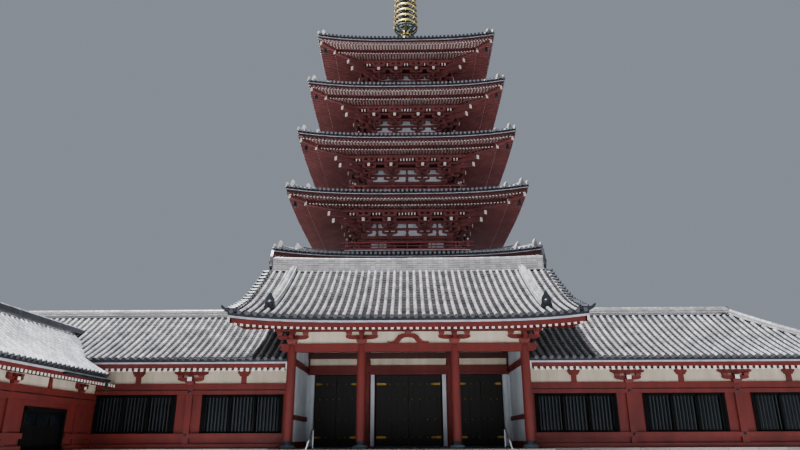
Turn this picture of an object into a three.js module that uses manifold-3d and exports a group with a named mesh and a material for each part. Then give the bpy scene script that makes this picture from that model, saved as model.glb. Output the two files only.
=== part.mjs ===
// A five-storey pagoda on its base building: a gate hall with three pairs of doors, tiled ranges round a
// raised terrace, a lower wing at the front left, and the square tower with its ringed spire.
// Every size below is in metres of the real building. The finished group is scaled to a 1:2 model.
import * as THREE from "three";
import { mergeVertices } from "three/addons/utils/BufferGeometryUtils.js";
import Module from "manifold-3d";

const wasm = await Module();
wasm.setup();

const modelMillimetres = 500; // of model for each metre of the real building, at 1:2
const joint = 0.0006; // gap left where one piece rests on or against another

// Base building
const floorTop = 1.1; // top of the stone plinth, which is the floor
const wallThickness = 0.3;
const rangeDepth = 3.4; // ridge line to outer wall face
const frontY = -21.9; // outer face of the front wall
const ridgeY = frontY + rangeDepth;
const leftX = -26.9; // outer face of the left side wall
const rightX = 21.6;
const rearY = 21.9;
const wallTop = 4.9;
const courtWallTop = 5.5;
const deckTop = 5;
const deckThickness = 0.4;
const rangeOverhang = 1.4;
const rangeEave = 5.05; // underside of the tile edge
const rangeRidge = 8.3; // tiles at the ridge
const windowSill = 1.8;
const windowHead = 3.6;
const windowWidth = 3.8;

// Gate hall
const gateHalf = 5.6; // centre of an outer column
const innerColumn = 2.24;
const gateY = -19; // ridge line and door plane
const gateDepth = 4.6; // door plane to the front columns
const columnRadius = 0.21;
const tieBottom = 5.5;
const tieTop = 5.89;
const purlinBottom = 6.5;
const gateEave = 6.56;
const gateRidge = 10.9; // tiles at the ridge
const gateRun = 7; // ridge to eave
const gateVerge = 8.2; // half the length of the gate roof
const doorHead = 4.82;
const doorThickness = 0.1;
const doorGap = 0.014;
const centreDoorHalf = 1.81;
const sideDoorInner = 2.72;
const sideDoorOuter = 5.12;

// Left wing
const wingRidgeX = -17.9;
const wingHalf = 2.2;
const wingOverhang = 1.15;
const wingEnd = -33.6;
const wingEave = 4.3;
const wingRidge = 7;
const wingWallTop = 4.12;
const wingDoor = { near: -27.7, far: -24.4, head: 2.85 };

// Tower
const storeys = 5;
const baseHalf = 7;
const baseTop = 6.4;
const bodyHalf = (i) => 4 - 0.37 * i;
const innerColumns = [0.41, 0.41, 0.415, 0.36, 0.37]; // their place on a side, as a share of bodyHalf
const eaveHalf = (i) => 9.95 - 0.55 * i;
const eaveLevel = (i) => 14.2 + 5.205 * i - 0.0355 * i * i;
const bracketHeight = 1.67;
const bracketReach = 1.8; // wall to the outer purlin
const flyingReach = 1.5; // how far the flying rafters pass the base rafters
const cornerLift = 0.5;
const balconyFloor = 1.8; // above the eave below
const balconyReach = 1.5;
const skirtReach = 0.45;
const slabTop = 0.42;
const roofInnerRise = 1.3;
const cornerRidge = 0.4; // height of the ridge down each corner of a roof
const basinSeat = 0.6; // half-width of the opening under the spire

// Tiles: the main rows of cover tiles stand on the bed of pan tiles as ribs, every third row of the real
// roofs. A roof's height is measured to the top of the rows.
const tileRow = 0.365;
const tileBed = 0.12; // how far the bed lies below the top of the rows
const tileCover = 0.24; // width of a row
const ribPitch = 3 * tileRow;

const materials = {
  vermilion: new THREE.MeshStandardMaterial({ color: "#7c2c24", roughness: 0.6, metalness: 0 }),
  plaster: new THREE.MeshStandardMaterial({ color: "#d8cfb8", roughness: 0.9, metalness: 0 }),
  tile: new THREE.MeshStandardMaterial({ color: "#8f9196", roughness: 0.5, metalness: 0.3 }),
  stone: new THREE.MeshStandardMaterial({ color: "#a8a49a", roughness: 0.9, metalness: 0 }),
  lacquer: new THREE.MeshStandardMaterial({ color: "#16140f", roughness: 0.4, metalness: 0 }),
  gilt: new THREE.MeshStandardMaterial({ color: "#b89a55", roughness: 0.35, metalness: 0.9 }),
  steel: new THREE.MeshStandardMaterial({ color: "#8d9093", roughness: 0.4, metalness: 1 }),
};

// A closed mesh as a solid that can be joined and cut.
function solid(geometry) {
  const loose = geometry.index ? geometry.toNonIndexed() : geometry;
  const bare = new THREE.BufferGeometry().setAttribute("position", loose.getAttribute("position").clone());
  const merged = mergeVertices(bare, 1e-5);
  return new wasm.Manifold(
    new wasm.Mesh({
      numProp: 3,
      vertProperties: merged.attributes.position.array,
      triVerts: new Uint32Array(merged.index.array),
    }),
  );
}

function geometryOf(made) {
  const mesh = made.getMesh();
  return new THREE.BufferGeometry()
    .setAttribute("position", new THREE.BufferAttribute(new Float32Array(mesh.vertProperties), 3))
    .setIndex(new THREE.BufferAttribute(new Uint32Array(mesh.triVerts), 1));
}

const join = (...parts) => geometryOf(parts.map(solid).reduce((a, b) => a.add(b)));
const cut = (from, ...tools) => geometryOf(tools.map(solid).reduce((a, b) => a.subtract(b), solid(from)));

// The largest of the bodies that a cut leaves.
function largest(geometry) {
  const bodies = solid(geometry).decompose();
  return geometryOf(bodies.reduce((a, b) => (a.volume() > b.volume() ? a : b)));
}

function block(x0, x1, y0, y1, z0, z1) {
  const box = new THREE.BoxGeometry(x1 - x0, y1 - y0, z1 - z0);
  return box.translate((x0 + x1) / 2, (y0 + y1) / 2, (z0 + z1) / 2);
}

function post(x, y, radius, z0, z1, sides = 16) {
  return new THREE.CylinderGeometry(radius, radius, z1 - z0, sides)
    .rotateX(Math.PI / 2)
    .translate(x, y, (z0 + z1) / 2);
}

// A flat outline pushed up into a solid with its foot at zero.
function extrude(points, depth) {
  const outline = new THREE.Shape(points.map(([a, b]) => new THREE.Vector2(a, b)));
  return new THREE.ExtrudeGeometry(outline, { depth, bevelEnabled: false });
}

const rectangle = (a0, a1, b0, b1) => [
  [a0, b0],
  [a1, b0],
  [a1, b1],
  [a0, b1],
];

// A flat outline given thickness: upwards, or standing along X, or standing along Y.
const plate = (points, z0, z1) => extrude(points, z1 - z0).translate(0, 0, z0);
const wallAlongX = (points, y0, y1) => extrude(points, y1 - y0).rotateX(Math.PI / 2).translate(0, y1, 0);

function wallAlongY(points, x0, x1) {
  return extrude(points, x1 - x0)
    .rotateX(Math.PI / 2)
    .rotateZ(Math.PI / 2)
    .translate(x0, 0, 0);
}

// Joins rings of points into one closed surface. Open ends are closed by a fan about their centre, or,
// where the ring is hollow on one side, by triangulating it.
function skin(rings, { closed = false, fan = true } = {}) {
  const count = rings[0].length;
  const points = rings.flat().map((p) => new THREE.Vector3(...p));
  const faces = [];
  const last = closed ? rings.length : rings.length - 1;
  for (let i = 0; i < last; i++) {
    const near = i * count;
    const far = ((i + 1) % rings.length) * count;
    for (let j = 0; j < count; j++) {
      const next = (j + 1) % count;
      faces.push([near + j, near + next, far + next], [near + j, far + next, far + j]);
    }
  }
  const closeEnd = (start, turn) => {
    const rim = points.slice(start, start + count);
    if (fan) {
      const middle = rim.reduce((sum, p) => sum.add(p), new THREE.Vector3()).divideScalar(count);
      const centre = points.push(middle) - 1;
      rim.forEach((_, j) => faces.push(turn([centre, start + ((j + 1) % count), start + j])));
      return;
    }
    const normal = new THREE.Vector3();
    rim.forEach((p, j) => normal.add(new THREE.Vector3().crossVectors(p, rim[(j + 1) % count])));
    const across = new THREE.Vector3().subVectors(rim[1], rim[0]).normalize();
    const along = new THREE.Vector3().crossVectors(normal.normalize(), across);
    const flat = rim.map((p) => new THREE.Vector2(p.dot(across), p.dot(along)));
    const triangles = THREE.ShapeUtils.triangulateShape(flat, []);
    triangles.forEach(([a, b, c]) => faces.push(turn([start + c, start + b, start + a])));
  };
  if (!closed) {
    closeEnd(0, (face) => face);
    closeEnd((rings.length - 1) * count, (face) => [face[0], face[2], face[1]]);
  }
  const bulk = ([a, b, c]) => points[a].dot(new THREE.Vector3().crossVectors(points[b], points[c]));
  const volume = faces.reduce((sum, face) => sum + bulk(face), 0);
  const outward = volume < 0 ? faces.map(([a, b, c]) => [a, c, b]) : faces;
  return new THREE.BufferGeometry().setFromPoints(points).setIndex(outward.flat());
}

// A row of cover tiles: a three-sided rib along a line up a slope, with its root sunk into the bed.
function tileRib(line, across) {
  const root = 0.05;
  const half = ((tileCover / 2) * (tileBed + root)) / tileBed;
  const foot = ([x, y, z], side) => [x + side * across[0], y + side * across[1], z - tileBed - root];
  return skin(
    line.map((point) => [foot(point, -half), foot(point, half), point]),
    { fan: false },
  );
}

// Places at an even pitch on both sides of zero that lie between two limits.
function rowPlaces(from, to, pitch) {
  const places = [];
  for (let k = Math.ceil(from / pitch); k * pitch <= to; k++) places.push(k * pitch);
  return places;
}

const building = new THREE.Group();
building.name = "pagoda";
building.scale.setScalar(modelMillimetres);

function piece(name, geometry, material, parent = building) {
  const mesh = new THREE.Mesh(geometry, material);
  mesh.name = name;
  parent.add(mesh);
  return mesh;
}

// Plinth, floor, steps and handrails
const plinthEdge = 0.35;
const porchFront = gateY - gateDepth - 0.9;
const porchHalf = gateHalf + 0.9;
const stepCount = 7;
const stepTread = 0.32;
const stepHalf = 4.7;

function plinth() {
  const x0 = leftX - plinthEdge;
  const x1 = rightX + plinthEdge;
  const y0 = frontY - plinthEdge;
  const outline = [
    [x0, rearY + plinthEdge],
    [x0, y0],
    [wingRidgeX - wingHalf - plinthEdge, y0],
    [wingRidgeX - wingHalf - plinthEdge, wingEnd - plinthEdge],
    [wingRidgeX + wingHalf + plinthEdge, wingEnd - plinthEdge],
    [wingRidgeX + wingHalf + plinthEdge, y0],
    [-porchHalf, y0],
    [-porchHalf, porchFront],
    [porchHalf, porchFront],
    [porchHalf, y0],
    [x1, y0],
    [x1, rearY + plinthEdge],
  ];
  return plate(outline, 0, floorTop);
}

function steps() {
  const rise = floorTop / stepCount;
  const outline = [[porchFront - joint, 0]];
  for (let i = stepCount - 1; i > 0; i--) {
    outline.push([porchFront - joint - (stepCount - i) * stepTread + stepTread, i * rise]);
    outline.push([porchFront - joint - (stepCount - i) * stepTread, i * rise]);
  }
  outline.push([porchFront - joint - (stepCount - 1) * stepTread, 0]);
  return wallAlongY(outline, -stepHalf, stepHalf);
}

function handrail(x) {
  const size = 0.05;
  const top = floorTop + 0.85;
  const run = (stepCount - 1) * stepTread;
  const nearFoot = porchFront - run + 0.5 * stepTread;
  const farFoot = porchFront + 0.35;
  const nearTop = floorTop / stepCount + 0.85;
  const stand = (y, z0, z1) => block(x - size / 2, x + size / 2, y - size / 2, y + size / 2, z0, z1);
  const bar = wallAlongY(
    [
      [nearFoot - 0.25, nearTop - 0.12],
      [farFoot - 0.35, top - size],
      [farFoot + 0.1, top - size],
      [farFoot + 0.1, top],
      [farFoot - 0.35, top],
      [nearFoot - 0.25, nearTop - 0.07],
    ],
    x - size / 2,
    x + size / 2,
  );
  const near = stand(nearFoot, floorTop / stepCount + joint, nearTop);
  const far = stand(farFoot, floorTop + joint, top - size / 2);
  return join(bar, near, far);
}

piece("plinth", plinth(), materials.stone);
piece("front_steps", steps(), materials.stone);
piece("left_handrail", handrail(-4.35), materials.steel);
piece("right_handrail", handrail(4.35), materials.steel);

// Walls of the ranges, with a window to each bay
const gateSide = gateHalf + 0.1; // outer face of the gate's side walls

function bays(from, to, count) {
  return Array.from({ length: count }, (_, i) => from + ((i + 0.5) * (to - from)) / count);
}

const leftWindows = bays(leftX, -gateHalf, 4);
const rightWindows = bays(gateHalf, rightX, 3);
const sideWindows = bays(frontY, rearY, 8);
const rearWindows = bays(leftX, rightX, 9);
const wallFoot = floorTop + joint;

const frontLeftWindows = leftWindows.filter((x) => x < leftX + 4 || x > wingRidgeX + 4);

// A wall standing along X or along Y with a row of window openings
function windowedWallX(x0, x1, y0, windows) {
  const half = windowWidth / 2;
  const holes = windows.map((x) => block(x - half, x + half, y0 - 1, y0 + 1, windowSill, windowHead));
  return cut(block(x0, x1, y0, y0 + wallThickness, wallFoot, wallTop), ...holes);
}

function windowedWallY(y0, y1, x0, windows) {
  const half = windowWidth / 2;
  const holes = windows.map((y) => block(x0 - 1, x0 + 1, y - half, y + half, windowSill, windowHead));
  return cut(block(x0, x0 + wallThickness, y0, y1, wallFoot, wallTop), ...holes);
}

const sideFront = frontY + wallThickness + joint;
const sideRear = rearY - wallThickness - joint;
const frontLeftWall = windowedWallX(leftX, -gateSide - joint, frontY, frontLeftWindows);
const frontRightWall = windowedWallX(gateSide + joint, rightX, frontY, rightWindows);
piece("front_left_wall", frontLeftWall, materials.vermilion);
piece("front_right_wall", frontRightWall, materials.vermilion);
const leftSideWall = windowedWallY(sideFront, sideRear, leftX, sideWindows);
const rightSideWall = windowedWallY(sideFront, sideRear, rightX - wallThickness, sideWindows);
piece("left_side_wall", leftSideWall, materials.vermilion);
piece("right_side_wall", rightSideWall, materials.vermilion);
piece("rear_wall", windowedWallX(leftX, rightX, rearY - wallThickness, rearWindows), materials.vermilion);

// Court wall inside the ranges, and the terrace deck between it and the tower base
const courtDepth = 2 * rangeDepth - wallThickness; // outer wall face to the court wall's near face
const court = {
  left: leftX + courtDepth,
  right: rightX - courtDepth,
  front: frontY + courtDepth,
  rear: rearY - courtDepth,
};
const gateRear = gateY + gateDepth;

// The court wall's line, set in by an amount, stepping round the back of the gate hall.
function courtLine(inset) {
  const step = gateSide + joint + inset;
  return [
    [court.left + inset, court.front + inset],
    [-step, court.front + inset],
    [-step, gateRear + joint + inset],
    [step, gateRear + joint + inset],
    [step, court.front + inset],
    [court.right - inset, court.front + inset],
    [court.right - inset, court.rear - inset],
    [court.left + inset, court.rear - inset],
  ];
}

const hole = baseHalf - 1 + joint;
const courtWall = cut(
  plate(courtLine(0), wallFoot, courtWallTop),
  plate(courtLine(wallThickness), 0, deckTop + 1),
);
const terrace = cut(
  plate(courtLine(wallThickness + joint), deckTop - deckThickness, deckTop),
  block(-hole, hole, -hole, hole, 0, deckTop + 1),
);
piece("court_wall", courtWall, materials.vermilion);
piece("terrace_deck", terrace, materials.stone);

// Roofs of the ranges: one section carried along the ridge line and mitred at the corners.
// Distances across the ridge are positive towards the outside of the building.
const rangeEdge = rangeDepth + rangeOverhang;
const courtEdge = rangeDepth + 0.5;
const tileDepth = 0.3;
const ridgeHalf = 0.25;
const ridgeHeight = 0.32;

// Height of the tiles at a distance from the ridge: steeper near the ridge, flatter at the eave.
function tileLine(distance, edge, ridge, eave) {
  const share = distance / edge;
  return ridge - (ridge - eave) * (1.25 * share - 0.25 * share * share);
}

const rangeTop = (d) => tileLine(d, rangeEdge, rangeRidge, rangeEave + tileDepth);
const slopeBreaks = [0.66, 0.33]; // where a slope bends, as shares of its run

function rangeSection() {
  const top = (d) => rangeTop(d) - tileBed;
  return [
    [rangeEdge, rangeEave - 0.33],
    [rangeEdge, top(rangeEdge)],
    ...slopeBreaks.map((s) => [s * rangeEdge, top(s * rangeEdge)]),
    [ridgeHalf, top(ridgeHalf)],
    [ridgeHalf, rangeRidge + ridgeHeight],
    [-ridgeHalf, rangeRidge + ridgeHeight],
    [-ridgeHalf, top(ridgeHalf)],
    ...[...slopeBreaks].reverse().map((s) => [-s * courtEdge, top(s * courtEdge)]),
    [-courtEdge, top(courtEdge)],
    [-courtEdge, courtWallTop + joint],
    [-rangeDepth + wallThickness, courtWallTop + joint],
    [0, rangeRidge - 0.45],
    [rangeDepth - wallThickness, wallTop + 0.45],
    [rangeDepth - wallThickness, wallTop + joint],
    [rangeDepth, wallTop + joint],
  ];
}

// Carries a section along a ridge line. Each station gives a point and how X and Y change per metre
// outwards.
function sweep(section, stations) {
  return skin(
    stations.map(([x, y, dx, dy]) => section.map(([d, z]) => [x + d * dx, y + d * dy, z])),
    { fan: false },
  );
}

// The ribs on the outer slope, between two places along the ridge. At a mitred end they stop at the mitre.
function rangeRows(at, across, from, to, mitres, skip = () => false) {
  const start = from - (mitres[0] ? rangeEdge - 0.6 : -0.3);
  const stop = to + (mitres[1] ? rangeEdge - 0.6 : -0.3);
  return rowPlaces(start, stop, ribPitch)
    .filter((u) => !skip(u))
    .map((u) => {
      const last = Math.max(ridgeHalf, from - u + tileCover, u - to + tileCover) - 0.02;
      const bends = slopeBreaks.map((s) => s * rangeEdge).filter((d) => d > last + 0.1);
      return tileRib([rangeEdge - 0.02, ...bends, last].map((d) => [...at(u, d), rangeTop(d)]), across);
    });
}

const ridge = {
  left: leftX + rangeDepth,
  right: rightX - rangeDepth,
  front: ridgeY,
  rear: rearY - rangeDepth,
};
const gateEnd = gateHalf + 0.24; // the front roofs stop beside the gate's columns
const miter = joint / 2;

const frontSlope = (u, d) => [u, ridge.front - d];
const underWing = (u) => Math.abs(u - wingRidgeX) < wingHalf + wingOverhang + 0.2;
const frontLeft = sweep(rangeSection(), [
  [-gateEnd, ridge.front, 0, -1],
  [ridge.left + miter, ridge.front, -1, -1],
]);
const frontRight = sweep(rangeSection(), [
  [gateEnd, ridge.front, 0, -1],
  [ridge.right - miter, ridge.front, 1, -1],
]);
const leftSide = sweep(rangeSection(), [
  [ridge.left, ridge.front + miter, -1, -1],
  [ridge.left, ridge.rear - miter, -1, 1],
]);
const rightSide = sweep(rangeSection(), [
  [ridge.right, ridge.front + miter, 1, -1],
  [ridge.right, ridge.rear - miter, 1, 1],
]);
const rear = sweep(rangeSection(), [
  [ridge.left + miter, ridge.rear, -1, 1],
  [ridge.right - miter, ridge.rear, 1, 1],
]);
const leftSlope = (u, d) => [ridge.left - d, u];
const rightSlope = (u, d) => [ridge.right + d, u];
const rearSlope = (u, d) => [u, ridge.rear + d];
const both = [true, true];
const rowsOfFrontLeft = rangeRows(frontSlope, [1, 0], ridge.left, -gateEnd, [true, false], underWing);
const rowsOfFrontRight = rangeRows(frontSlope, [1, 0], gateEnd, ridge.right, [false, true]);
const rowsOfLeft = rangeRows(leftSlope, [0, 1], ridge.front, ridge.rear, both);
const rowsOfRight = rangeRows(rightSlope, [0, 1], ridge.front, ridge.rear, both);
const rowsOfRear = rangeRows(rearSlope, [1, 0], ridge.left, ridge.right, both);
piece("front_left_roof", join(frontLeft, ...rowsOfFrontLeft), materials.tile);
piece("front_right_roof", join(frontRight, ...rowsOfFrontRight), materials.tile);
piece("left_side_roof", join(leftSide, ...rowsOfLeft), materials.tile);
piece("right_side_roof", join(rightSide, ...rowsOfRight), materials.tile);
piece("rear_roof", join(rear, ...rowsOfRear), materials.tile);

// Lower wing at the front left: three walls and a roof that runs into the front range
function wingWalls() {
  const x0 = wingRidgeX - wingHalf;
  const x1 = wingRidgeX + wingHalf;
  const outer = rectangle(x0, x1, wingEnd, frontY - joint);
  const inner = rectangle(x0 + wallThickness, x1 - wallThickness, wingEnd + wallThickness, frontY);
  const walls = cut(plate(outer, wallFoot, wingWallTop), plate(inner, 0, wingWallTop + 1));
  const gable = wallAlongX(
    [
      [x0 + 0.35, wingWallTop - 0.1],
      [x1 - 0.35, wingWallTop - 0.1],
      [wingRidgeX, wingWallTop + 1.95],
    ],
    wingEnd,
    wingEnd + wallThickness,
  );
  const doorway = block(x1 - 1, x1 + 1, wingDoor.near, wingDoor.far, floorTop - 1, wingDoor.head);
  return cut(join(walls, gable), doorway);
}

function wingRoof() {
  const edge = wingHalf + wingOverhang;
  const top = (d) => tileLine(d, edge, wingRidge, wingEave + tileDepth);
  const slope = [0.75, 0.5, 0.25];
  const half = [
    [edge, wingEave - 0.25],
    [edge, wingEave + tileDepth],
    ...slope.map((s) => [s * edge, top(s * edge)]),
    [ridgeHalf * 0.8, top(ridgeHalf * 0.8)],
    [ridgeHalf * 0.8, wingRidge + 0.28],
  ];
  const under = [
    [-wingHalf, wingWallTop + joint],
    [-wingHalf + wallThickness, wingWallTop + joint],
    [0, wingRidge - 0.7],
    [wingHalf - wallThickness, wingWallTop + joint],
    [wingHalf, wingWallTop + joint],
  ];
  const section = [...half, ...[...half].reverse().map(([d, z]) => [-d, z]), ...under];
  const roof = sweep(section, [
    [wingRidgeX, wingEnd - 0.9, 1, 0],
    [wingRidgeX, ridgeY, 1, 0],
  ]);
  // Everything behind the front wall or inside the front range's roof is cut away.
  const front = ridgeY - rangeEdge - joint;
  const rise = (d) => rangeTop(d) - tileBed + joint;
  const bends = [ridgeHalf, ...[...slopeBreaks, 1].map((s) => s * rangeEdge).sort((a, b) => a - b)];
  const taken = wallAlongY(
    [
      [front, rangeEave - 0.33 - joint],
      [frontY - joint, wallTop - joint],
      [frontY - joint, 0],
      [ridgeY + 1, 0],
      [ridgeY + 1, rangeRidge + 1],
      [ridgeY - ridgeHalf - joint, rangeRidge + 1],
      ...bends.map((d) => [ridgeY - d - joint, rise(d)]),
    ],
    leftX - 5,
    0,
  );
  return largest(cut(roof, taken));
}

piece("wing_walls", wingWalls(), materials.vermilion);
piece("wing_roof", wingRoof(), materials.tile);

// Gate hall: front columns on stone discs, with tie beam, plaster frieze, bracket sets and purlin over them
const columnLine = [-gateHalf, -innerColumn, innerColumn, gateHalf];

function gateFrontFrame() {
  const y = gateY - gateDepth;
  const strip = (half, thick, z0, z1) => block(-half, half, y - thick / 2, y + thick / 2, z0, z1);
  const parts = [
    strip(gateHalf + 0.55, 0.28, tieBottom, tieTop),
    strip(gateHalf, 0.12, tieTop - 0.05, purlinBottom + 0.05),
    strip(gateVerge - 0.5, 0.26, purlinBottom, purlinBottom + 0.26),
  ];
  for (const x of columnLine) {
    parts.push(post(x, y, columnRadius + 0.14, floorTop + joint, floorTop + 0.14));
    parts.push(post(x, y, columnRadius, floorTop + 0.07, tieBottom + 0.05));
    parts.push(block(x - 0.24, x + 0.24, y - 0.24, y + 0.24, tieTop - 0.01, tieTop + 0.24));
    parts.push(block(x - 0.75, x + 0.75, y - 0.12, y + 0.12, tieTop + 0.2, tieTop + 0.42));
  }
  return join(...parts);
}

piece("gate_front_frame", gateFrontFrame(), materials.vermilion);

// Side walls of the gate hall, each with the outer door post on it
function gateSideWall(side) {
  const near = gateY - gateDepth + columnRadius + 0.15;
  const outline = rectangle(near, gateRear, floorTop + joint, purlinBottom - joint);
  const inner = Math.min(side * sideDoorOuter, side * gateHalf);
  return join(
    wallAlongY(outline, side * gateHalf - 0.1, side * gateHalf + 0.1),
    block(inner, inner + gateHalf - sideDoorOuter, gateY - 0.13, gateY + 0.13, floorTop + joint, doorHead),
    post(side * gateHalf, gateY, columnRadius, floorTop + joint, doorHead, 12),
  );
}

piece("gate_left_wall", gateSideWall(-1), materials.plaster);
piece("gate_right_wall", gateSideWall(1), materials.plaster);

// Door frame: the two posts between the doors, the transom over them and a tie beam above
const insideGate = gateHalf - 0.1 - joint;

function doorFrame() {
  const transom = sideDoorOuter - joint;
  const parts = [
    block(-transom, transom, gateY - 0.16, gateY + 0.16, doorHead, doorHead + 0.5),
    block(-insideGate, insideGate, gateY - 0.08, gateY + 0.08, doorHead + 0.3, purlinBottom - joint),
    block(-insideGate, insideGate, gateY - 0.14, gateY + 0.14, 5.69, 6),
  ];
  for (const side of [-1, 1]) {
    const inner = Math.min(side * centreDoorHalf, side * sideDoorInner);
    const width = sideDoorInner - centreDoorHalf;
    parts.push(block(inner, inner + width, gateY - 0.13, gateY + 0.13, floorTop + joint, doorHead + 0.1));
    parts.push(post(side * innerColumn, gateY, columnRadius, floorTop + joint, doorHead + 0.1, 12));
  }
  return join(...parts);
}

function gateRearWall() {
  const half = gateVerge - 0.5;
  return join(
    block(-insideGate, insideGate, gateRear - 0.25, gateRear, floorTop + joint, purlinBottom + 0.05),
    block(-half, half, gateRear - 0.13, gateRear + 0.13, purlinBottom, purlinBottom + 0.26),
  );
}

piece("door_frame", doorFrame(), materials.vermilion);
piece("gate_rear_wall", gateRearWall(), materials.plaster);

// Gate roof: a gable roof with curved slopes and slightly raised corners
const gateTile = 0.32;
const gateTop = (d) => tileLine(Math.abs(d), gateRun, gateRidge, gateEave + gateTile);

function gateRoof() {
  const crestHalf = 0.34;
  const bends = [gateRun, ...slopeBreaks.map((s) => s * gateRun), crestHalf];
  const topHalf = bends.map((d) => [d, gateTop(d) - tileBed]);
  const crest = [[crestHalf, gateRidge + 0.64]];
  const mirror = (points) => [...points].reverse().map(([d, z]) => [-d, z]);
  const underHalf = [
    [gateRun - 0.05, gateEave - 0.3],
    [gateDepth + 0.13, purlinBottom + 0.262],
    [gateDepth - 0.3, purlinBottom + 0.4],
  ];
  const under = [...underHalf].reverse();
  const upper = [...topHalf, ...crest, ...mirror(crest), ...mirror(topHalf)];
  const section = [...upper, ...mirror(under), [0, gateRidge - 0.55], ...under];
  const outward = (d) => Math.max(0, (Math.abs(d) - gateDepth) / (gateRun - gateDepth));
  const lift = (x, d) => 0.28 * Math.abs(x / gateVerge) ** 4 * outward(d);
  const stations = [-1, -0.8, -0.5, 0, 0.5, 0.8, 1].map((s) => s * gateVerge);
  const shell = skin(
    stations.map((x) => section.map(([d, z]) => [x, gateY - d, z + lift(x, d)])),
    { fan: false },
  );
  const ribs = [];
  for (const x of rowPlaces(-gateVerge + 0.3, gateVerge - 0.3, ribPitch)) {
    const line = [gateRun - 0.02, ...bends.slice(1, -1), crestHalf - 0.02];
    for (const side of [-1, 1]) {
      ribs.push(tileRib(line.map((d) => [x, gateY + side * d, gateTop(d) + lift(x, d)]), [1, 0]));
    }
  }
  return join(shell, ...ribs);
}

piece("gate_roof", gateRoof(), materials.tile);

// Gable walls of the gate, tied together by the ridge beam under the roof
function gateGables() {
  const clear = 0.03;
  const fall = (gateRidge - 0.95 - purlinBottom) / (gateDepth - 0.3);
  const at = (d) => Math.min(gateTop(d) - 0.62, gateRidge - 0.55 - clear - d * fall);
  const inner = gateDepth - 0.35;
  const outline = [
    [gateY - inner, purlinBottom],
    [gateY + inner, purlinBottom],
    [gateY + inner, at(inner)],
    [gateY, at(0)],
    [gateY - inner, at(inner)],
  ];
  return join(
    wallAlongY(outline, -gateHalf - 0.1, -gateHalf + 0.1),
    wallAlongY(outline, gateHalf - 0.1, gateHalf + 0.1),
    block(-gateVerge + 0.4, gateVerge - 0.4, gateY - 0.15, gateY + 0.15, at(0) - 0.7, at(0) - 0.25),
  );
}

piece("gate_gables", gateGables(), materials.plaster);

// Doors: six leaves, each turning on the round heel of its outer stile
const doorFoot = floorTop + 0.03;
const heel = doorThickness / 2;

function doorLeaf(name, hingeX, meetX) {
  const way = Math.sign(meetX - hingeX);
  const width = Math.abs(meetX - hingeX);
  const outline = new THREE.Shape();
  outline.moveTo(0, -heel);
  outline.lineTo(width, -heel);
  outline.lineTo(width, heel);
  outline.lineTo(0, heel);
  outline.absarc(0, 0, heel, Math.PI / 2, (3 * Math.PI) / 2, false);
  const depth = doorHead - doorGap - doorFoot;
  const leaf = new THREE.ExtrudeGeometry(outline, { depth, bevelEnabled: false, curveSegments: 6 });
  const mesh = piece(name, leaf, materials.lacquer);
  mesh.position.set(hingeX, gateY, doorFoot);
  mesh.rotation.z = way > 0 ? 0 : Math.PI;
  return mesh;
}

const hingeInset = heel + doorGap;
const sideMeet = (sideDoorInner + sideDoorOuter) / 2;
doorLeaf("centre_door_left", -centreDoorHalf + hingeInset, -doorGap / 2);
doorLeaf("centre_door_right", centreDoorHalf - hingeInset, doorGap / 2);
doorLeaf("left_door_left", -sideDoorOuter + hingeInset, -sideMeet - doorGap / 2);
doorLeaf("left_door_right", -sideDoorInner - hingeInset, -sideMeet + doorGap / 2);
doorLeaf("right_door_left", sideDoorInner + hingeInset, sideMeet - doorGap / 2);
doorLeaf("right_door_right", sideDoorOuter - hingeInset, sideMeet + doorGap / 2);

// Tower base: a stone platform whose walls pass down through the terrace to the plinth
piece(
  "tower_base",
  cut(
    join(
      block(-baseHalf, baseHalf, -baseHalf, baseHalf, deckTop + joint, baseTop),
      block(-baseHalf + 1, baseHalf - 1, -baseHalf + 1, baseHalf - 1, wallFoot, deckTop + 0.2),
    ),
    block(-baseHalf + 1.6, baseHalf - 1.6, -baseHalf + 1.6, baseHalf - 1.6, 0, deckTop - 0.3),
  ),
  materials.stone,
);

// A square ring of points at half-width r. The height may depend on where along the side a point lies,
// from -1 at one corner to 1 at the other.
function squareRing(r, stations, height) {
  const ring = [];
  for (let side = 0; side < 4; side++) {
    const turn = (side * Math.PI) / 2;
    for (const t of stations) {
      const x = t * r;
      ring.push([
        Math.round((x * Math.cos(turn) + r * Math.sin(turn)) * 1e6) / 1e6,
        Math.round((x * Math.sin(turn) - r * Math.cos(turn)) * 1e6) / 1e6,
        height(t),
      ]);
    }
  }
  return ring;
}

// Points along a side of the eaves: the outer two mark the foot of the corner ridge.
const eaveStations = (i) => [-1, -1 + 0.35 / eaveHalf(i), -0.8, -0.5, 0.5, 0.8, 1 - 0.35 / eaveHalf(i)];

// Eaves rise towards the corners, and only beyond the outer purlin.
function liftAt(i, r, t) {
  const purlin = bodyHalf(i) + bracketReach;
  const out = Math.min(1, Math.max(0, (r - purlin) / (eaveHalf(i) - purlin)));
  return cornerLift * Math.abs(t) ** 3 * out * out;
}

const roofInner = (i) => (i < storeys - 1 ? bodyHalf(i + 1) + skirtReach + 0.02 : 0.9);
const roofRise = (i) => (i < storeys - 1 ? roofInnerRise : 3.5);
const roofShell = 0.3;

// Top of the tiles above the eave level, at half-width r.
function roofTop(i, r) {
  const share = (eaveHalf(i) - r) / (eaveHalf(i) - roofInner(i));
  const bend = i < storeys - 1 ? 0.25 : 0.38;
  return 0.3 + roofRise(i) * ((1 - bend) * share + bend * share * share);
}

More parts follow.
